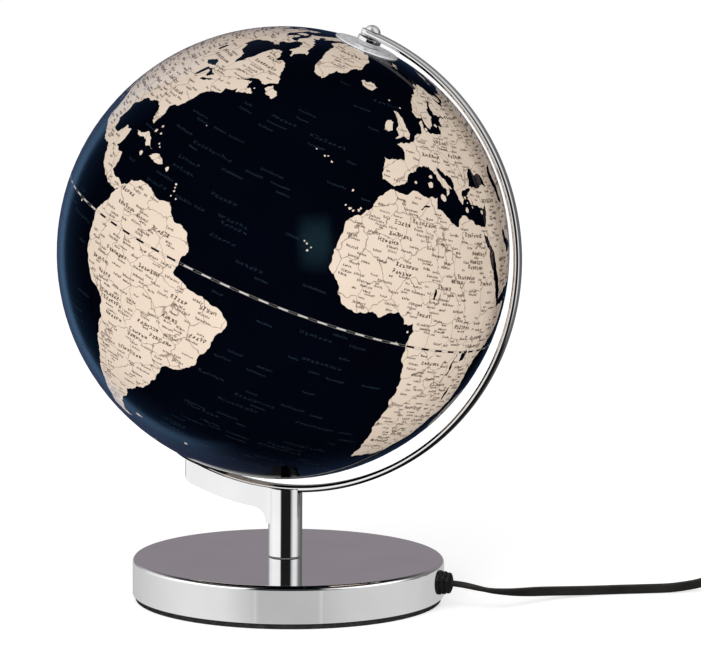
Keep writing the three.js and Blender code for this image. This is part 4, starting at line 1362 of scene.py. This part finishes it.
def make_switch():
    """Two shells, and a rocker that tips in the pocket of the upper one."""
    place = Matrix.Translation(SWITCH_CENTRE)
    plan = rounded_rectangle(SWITCH_LENGTH, SWITCH_WIDTH, 8, 8)
    half = SWITCH_HEIGHT / 2
    lower = slab("switch_bottom_shell", plan, -half, -GAP / 2, BLACK_PLASTIC, place, 1.6)
    well = prism("tool", rounded_rectangle(16.4, 11.4, 0.8, 3), 0.5, 30, BLACK_PLASTIC, place)
    upper = slab("switch_top_shell", plan, GAP / 2, half, BLACK_PLASTIC, place, 1.6, pocket=well)
    tip = (7.3, 4.6)
    outline = [(-5.5, -3.2), (5.5, -3.2), tip]
    outline += curve_to(tip, (0, 3), (-tip[0], tip[1]), 12)
    pivot = place @ Matrix.Translation((0, 0, 4.6)) @ Matrix.Rotation(-ROCKER_TILT, 4, "Y")
    stand_up = pivot @ Matrix.Rotation(math.pi / 2, 4, "X")
    rocker = slab("rocker_key", outline, -5.3, 5.3, BLACK_PLASTIC, stand_up, 0.5)
    finished(lower, "stand", "black_plastic", "switch_lower")
    finished(upper, "stand", "black_plastic", "switch_upper")
    finished(rocker, "switch_rocker", "black_plastic", "switch_rocker")
    return [lower, upper, rocker]


def make_plug_body(place):
    wide = PLUG_HALF_WIDTH
    neck = PLUG_NECK_HALF_WIDTH
    shoulder = 12
    plan = [
        (0, -wide), (shoulder, -wide), (PLUG_LENGTH, -neck), (PLUG_LENGTH, neck), (shoulder, wide), (0, wide),
    ]
    body = slab("plug_housing", plan, -PLUG_HALF_HEIGHT, PLUG_HALF_HEIGHT, BLACK_PLASTIC, place, 1.8)
    return finished(body, "stand", "black_plastic", "plug_body")


def make_plug_sleeve(place):
    """The ribbed sleeve where the cord leaves the plug."""
    rib_r = 3.8
    groove_r = 3.1
    end = PLUG_LENGTH + RELIEF_LENGTH
    along = PLUG_LENGTH + GAP
    profile = [(0, along)]
    while along < end - 2:
        profile += [(rib_r, along), (rib_r, along + 1.7), (groove_r, along + 1.8), (groove_r, along + 2.5)]
        along += 2.6
    profile += [(3.4, end), (0, end)]
    relief = turned("plug_sleeve", softened(profile, 0.3, 2), RUBBER, place=place @ ALONG_X, segments=48)
    return finished(relief, "stand", "black_rubber", "plug_relief")


def make_pin(name, place):
    """A round contact pin with a black sleeve over its inner half."""
    contact = [(0, GAP), (1.7, GAP), *arc(0, PIN_LENGTH - PIN_R, PIN_R, 0, 90, 6)]
    pin = turned(name + "_metal", contact, NICKEL, place=place, segments=48)
    collar = softened(ring_profile(1.75, PIN_R, GAP, PIN_SLEEVE_LENGTH), 0.08)
    sleeve = turned(name + "_sleeve", collar, BLACK_PLASTIC, place=place, segments=48)
    finished(pin, "stand", "brass", name)
    finished(sleeve, "stand", "black_plastic")
    return [pin, sleeve]


def make_plug():
    place = Matrix.Translation((PLUG_FACE_X, PLUG_Y, PLUG_Z))
    pieces = [make_plug_body(place), make_plug_sleeve(place)]
    for name, side in (("plug_pin_left", -1), ("plug_pin_right", 1)):
        beside = Matrix.Translation((0, side * PIN_SPACING / 2, 0))
        pieces += make_pin(name, place @ beside @ Matrix.Rotation(-math.pi / 2, 4, "Y"))
    return pieces


GLAND = make_gland()
SWITCH_PARTS = make_switch()
PLUG_PARTS = make_plug()

# ---- parts inside, as the CAD has them, unseen and out of every reflection -------------------------------
INNER_PARTS = {
    "base_plate": STEEL, "base_weight": CAST_IRON, "tie_tube": STEEL, "tie_washer": STEEL, "tie_nut": STEEL,
    "top_pin": STEEL, "lamp_nipple": BRASS, "lamp_nut": BRASS, "lamp_holder": PORCELAIN, "bulb_cap": BRASS,
    "bulb_glass": GLASS, "equator_joint": WHITE_PLASTIC, "lamp_wire": WHITE_PLASTIC,
}
for node, material in INNER_PARTS.items():
    repaint(node, material)
    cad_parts[node].visible_glossy = False

# ---- studio --------------------------------------------------------------------------------------------


def ramp_of(tree, value, stops, position):
    """A colour ramp over stops of (degrees, grey or colour), each put at its position for that angle."""
    made = tree.nodes.new("ShaderNodeValToRGB")
    tree.links.new(value, made.inputs["Fac"])
    ramp = made.color_ramp
    while len(ramp.elements) < len(stops):
        ramp.elements.new(0.5)
    for element, (degrees, tone) in zip(ramp.elements, sorted(stops)):
        element.position = position(degrees)
        colour = tone if isinstance(tone, tuple) else (tone, tone, tone)
        element.color = (*colour, 1)
    return made.outputs["Color"]


def worked_out(tree, operation, *values):
    """A calculation on numbers and on the outputs of other nodes."""
    made = tree.nodes.new("ShaderNodeMath")
    made.operation = operation
    for socket, value in zip(made.inputs, values):
        if isinstance(value, bpy.types.NodeSocket):
            tree.links.new(value, socket)
        else:
            socket.default_value = value
    return made.outputs["Value"]


def split_up(tree, vector):
    """The X, Y and Z of a vector."""
    split = tree.nodes.new("ShaderNodeSeparateXYZ")
    tree.links.new(vector, split.inputs["Vector"])
    return split.outputs


def azimuth_of(tree, vector):
    """0 at the back of the camera's azimuth, 0.5 at the camera's azimuth, 1 at the back again."""
    turn = tree.nodes.new("ShaderNodeVectorRotate")
    turn.rotation_type = "Z_AXIS"
    turn.inputs["Angle"].default_value = -CAMERA_AZIMUTH
    tree.links.new(vector, turn.inputs["Vector"])
    sides = split_up(tree, turn.outputs["Vector"])
    back = worked_out(tree, "MULTIPLY", sides["Y"], -1)
    angle = worked_out(tree, "ARCTAN2", sides["X"], back)
    return worked_out(tree, "MULTIPLY_ADD", angle, 1 / (2 * math.pi), 0.5)


def height_of(tree, vector):
    """0 straight down, 0.5 level, 1 straight up, by the sine of the elevation."""
    unit = tree.nodes.new("ShaderNodeVectorMath")
    unit.operation = "NORMALIZE"
    tree.links.new(vector, unit.inputs[0])
    return worked_out(tree, "MULTIPLY_ADD", split_up(tree, unit.outputs["Vector"])["Z"], 0.5, 0.5)


def around(offset):
    """The ramp position of an azimuth in degrees from the camera's, right positive."""
    return offset / 360 + 0.5


def above(elevation):
    """The ramp position of an elevation in degrees."""
    return 0.5 + 0.5 * math.sin(math.radians(elevation))


def mixed(tree, factor, low, high, blend_type="MIX"):
    """Two colours blended by a factor, a number or an output of another node."""
    blend = tree.nodes.new("ShaderNodeMix")
    blend.data_type = "RGBA"
    blend.blend_type = blend_type
    if isinstance(factor, bpy.types.NodeSocket):
        tree.links.new(factor, blend.inputs["Factor"])
    else:
        blend.inputs["Factor"].default_value = factor
    tree.links.new(low, blend.inputs["A"])
    tree.links.new(high, blend.inputs["B"])
    return blend.outputs["Result"]


def panel_light(name, low_stops, high_stops, change, fade):
    """Light that is added to what lies behind it: one row of panels low down, another high up."""
    material = bpy.data.materials.new(name)
    material.use_nodes = True
    tree = material.node_tree
    tree.nodes.remove(tree.nodes["Principled BSDF"])
    place = tree.nodes.new("ShaderNodeTexCoord").outputs["Object"]
    turn = azimuth_of(tree, place)
    height = height_of(tree, place)
    low = ramp_of(tree, turn, low_stops, around)
    high = ramp_of(tree, turn, high_stops, around)
    colour = mixed(tree, ramp_of(tree, height, change, above), low, high)
    if fade:
        colour = mixed(tree, 1.0, colour, ramp_of(tree, height, fade, above), "MULTIPLY")
    glow = tree.nodes.new("ShaderNodeEmission")
    tree.links.new(colour, glow.inputs["Color"])
    clear = tree.nodes.new("ShaderNodeBsdfTransparent")
    both = tree.nodes.new("ShaderNodeAddShader")
    tree.links.new(glow.outputs["Emission"], both.inputs[0])
    tree.links.new(clear.outputs["BSDF"], both.inputs[1])
    tree.links.new(both.outputs["Shader"], tree.nodes["Material Output"].inputs["Surface"])
    material.cycles.emission_sampling = "NONE"
    return material


def studio_shell(name, radius, low_stops, high_stops, change, receivers, fade=None):
    """A large tent of light panels that only the given pieces reflect. Nothing else sees it."""
    shape = bmesh.new()
    bmesh.ops.create_uvsphere(shape, u_segments=64, v_segments=32, radius=radius)
    mesh = bpy.data.meshes.new(name)
    shape.to_mesh(mesh)
    shape.free()
    shell = bpy.data.objects.new(name, mesh)
    bpy.context.scene.collection.objects.link(shell)
    mesh.materials.append(panel_light(name, low_stops, high_stops, change, fade))
    shell.visible_camera = False
    shell.visible_diffuse = False
    shell.visible_transmission = False
    shell.visible_shadow = False
    group = bpy.data.collections.new(name + "_receivers")
    for piece in receivers:
        group.objects.link(piece)
    shell.light_linking.receiver_collection = group


# Panels by azimuth in degrees from the camera's, right positive, and changes by elevation in degrees.
DARK = [(-180, 0.0), (180, 0.0)]


def light_stand():
    """Wide bright panels left and right, a dark gap behind the camera, and grey at the back."""
    low = [
        (-180, 0.17), (-150, 0.33), (-121, 0.85), (-90, 1.0), (-36, 0.95),
        (-28, 0.012), (34, 0.012), (40, 0.3), (56, 0.85), (80, 0.85),
        (100, 0.25), (128, 0.12), (162, 0.12), (180, 0.17),
    ]
    high = [
        (-180, 0.3), (-120, 0.9), (-40, 0.95), (-25, 0.35), (25, 0.35),
        (50, 0.9), (110, 0.5), (180, 0.3),
    ]
    change = [(12, 0.0), (35, 1.0)]
    under = [(-30, 0.03), (-14, 1.0)]
    studio_shell("studio_for_stand", 9.0, low, high, change, [CASTING, MERIDIAN, *TOP_METAL], under)


def light_base():
    """Pale grey for the base's side, and over it the stand's panels and a grey back for its top."""
    low = [
        (-180, 0.49), (-123, 0.67), (-80, 0.82), (-48, 0.80), (-28, 0.62),
        (-24.5, 0.58), (-23.4, 0.74), (-22.3, 0.52), (22.3, 0.53),
        (23.4, 0.74), (24.5, 0.55), (45, 0.64), (90, 0.69), (140, 0.58),
        (180, 0.48),
    ]
    grey = (0.258, 0.234, 0.256)
    high = [
        (-180, grey), (-152, grey), (-121, 0.85), (-90, 1.0), (-36, 0.95),
        (-28, 0.012), (34, 0.012), (40, 0.3), (56, 0.85), (80, 0.85),
        (100, 0.25), (128, 0.17), (150, grey), (180, grey),
    ]
    change = [(-3, 0.0), (1, 1.0)]
    overhead = [(25, 1.0), (45, 0.06)]
    studio_shell("studio_for_base", 10.0, low, high, change, [BASE_COVER], overhead)
    ceiling = [
        (-110, 0.0), (-90, 0.9), (-32, 0.9), (-24, 0.03), (24, 0.03),
        (32, 0.9), (90, 0.9), (110, 0.0),
    ]
    band = [(10, 0.0), (18, 1.0), (34, 1.0), (44, 0.0)]
    studio_shell("ceiling_for_base", 11.0, DARK, ceiling, band, [BASE_COVER])


def light_globe():
    """A dark room with a pale blue wall far round to the left, and a small bluish window on the right."""
    low = [
        (-180, (0.03, 0.045, 0.10)), (-174, (0.04, 0.052, 0.095)),
        (-168, (0.054, 0.07, 0.147)), (-158, (0.10, 0.17, 0.31)),
        (-152, (0.17, 0.34, 0.60)), (-148, (0.17, 0.34, 0.60)),
        (-144, (0.05, 0.10, 0.20)), (-140, (0.02, 0.05, 0.10)),
        (-118, 0.0), (150, 0.0), (175, (0.02, 0.035, 0.08)),
    ]
    night = (0.002, 0.004, 0.008)
    high = [(-180, night), (180, night)]
    change = [(-65, 1.0), (-45, 0.0), (40, 0.0), (70, 1.0)]
    studio_shell("studio_for_globe", 12.0, low, high, change, MAP_PIECES)
    pane = (0.35, 0.9, 1.2)
    window = [(6, 0.0), (12, pane), (20, pane), (26, 0.0)]
    height = [(-4, 0.0), (8, 1.0), (16, 1.0), (26, 0.0)]
    studio_shell("window_for_globe", 14.0, DARK, window, height, MAP_PIECES)


def light_trim():
    """A soft overhead panel that the cord, its gland, switch and plug, and the hour disc reflect."""
    dim = [(-180, 0.03), (180, 0.03)]
    panel = [(-180, 0.7), (180, 0.7)]
    change = [(25, 0.0), (50, 1.0)]
    studio_shell("studio_for_trim", 13.0, dim, panel, change, [CORD, GLAND, *SWITCH_PARTS, *PLUG_PARTS, DIAL])


def background(tree, colour, strength):
    made = tree.nodes.new("ShaderNodeBackground")
    made.inputs["Color"].default_value = (*colour, 1)
    made.inputs["Strength"].default_value = strength
    return made.outputs["Background"]


def one_or_other(tree, chosen, otherwise, this):
    """The second shader for rays of the chosen kind, and the first for the rest."""
    blend = tree.nodes.new("ShaderNodeMixShader")
    tree.links.new(chosen, blend.inputs["Fac"])
    tree.links.new(otherwise, blend.inputs[1])
    tree.links.new(this, blend.inputs[2])
    return blend.outputs["Shader"]


def make_world():
    """White to the camera, soft white on every surface, and dark to a gloss."""
    world = bpy.data.worlds.new("studio")
    bpy.context.scene.world = world
    world.use_nodes = True
    tree = world.node_tree
    gloss = background(tree, (0, 0, 0), 1.0)
    soft = background(tree, (1, 1, 1), 0.62)
    white = background(tree, (1, 1, 1), 1.1)
    path = tree.nodes.new("ShaderNodeLightPath")
    lit = one_or_other(tree, path.outputs["Is Glossy Ray"], soft, gloss)
    seen = one_or_other(tree, path.outputs["Is Camera Ray"], lit, white)
    tree.links.new(seen, tree.nodes["World Output"].inputs["Surface"])


def make_floor():
    bpy.ops.mesh.primitive_circle_add(vertices=96, radius=60, fill_type="NGON", location=(0, 0, 0))
    floor = bpy.context.object
    floor.name = "floor"
    finish = Finish("floor_paper", (0.9, 0.9, 0.9), 0.9)
    finish.shader.inputs["Emission Color"].default_value = (1, 1, 1, 1)
    finish.shader.inputs["Emission Strength"].default_value = 0.45
    finish.shader.inputs["Specular IOR Level"].default_value = 0.0
    floor.data.materials.append(finish.material)
    floor.visible_glossy = False


def softbox(name, azimuth, elevation, distance, size, power):
    """A soft light at an azimuth from the camera's and an elevation, in degrees. No gloss shows it."""
    lamp = bpy.data.lights.new(name, "AREA")
    lamp.shape = "RECTANGLE"
    lamp.size, lamp.size_y = size
    lamp.energy = power
    holder = bpy.data.objects.new(name, lamp)
    bpy.context.scene.collection.objects.link(holder)
    towards = direction(CAMERA_AZIMUTH + math.radians(azimuth), math.radians(elevation))
    holder.location = Vector((0, 0, 0.17)) + distance * towards
    holder.rotation_euler = towards.to_track_quat("Z", "Y").to_euler()
    holder.visible_glossy = False


def make_studio():
    make_world()
    make_floor()
    light_stand()
    light_base()
    light_globe()
    light_trim()
    softbox("key", -25, 30, 2.4, (1.6, 1.6), 26)
    softbox("fill", 40, 15, 2.6, (1.4, 1.8), 8.5)
    bpy.context.scene.view_settings.view_transform = "Standard"


make_studio()
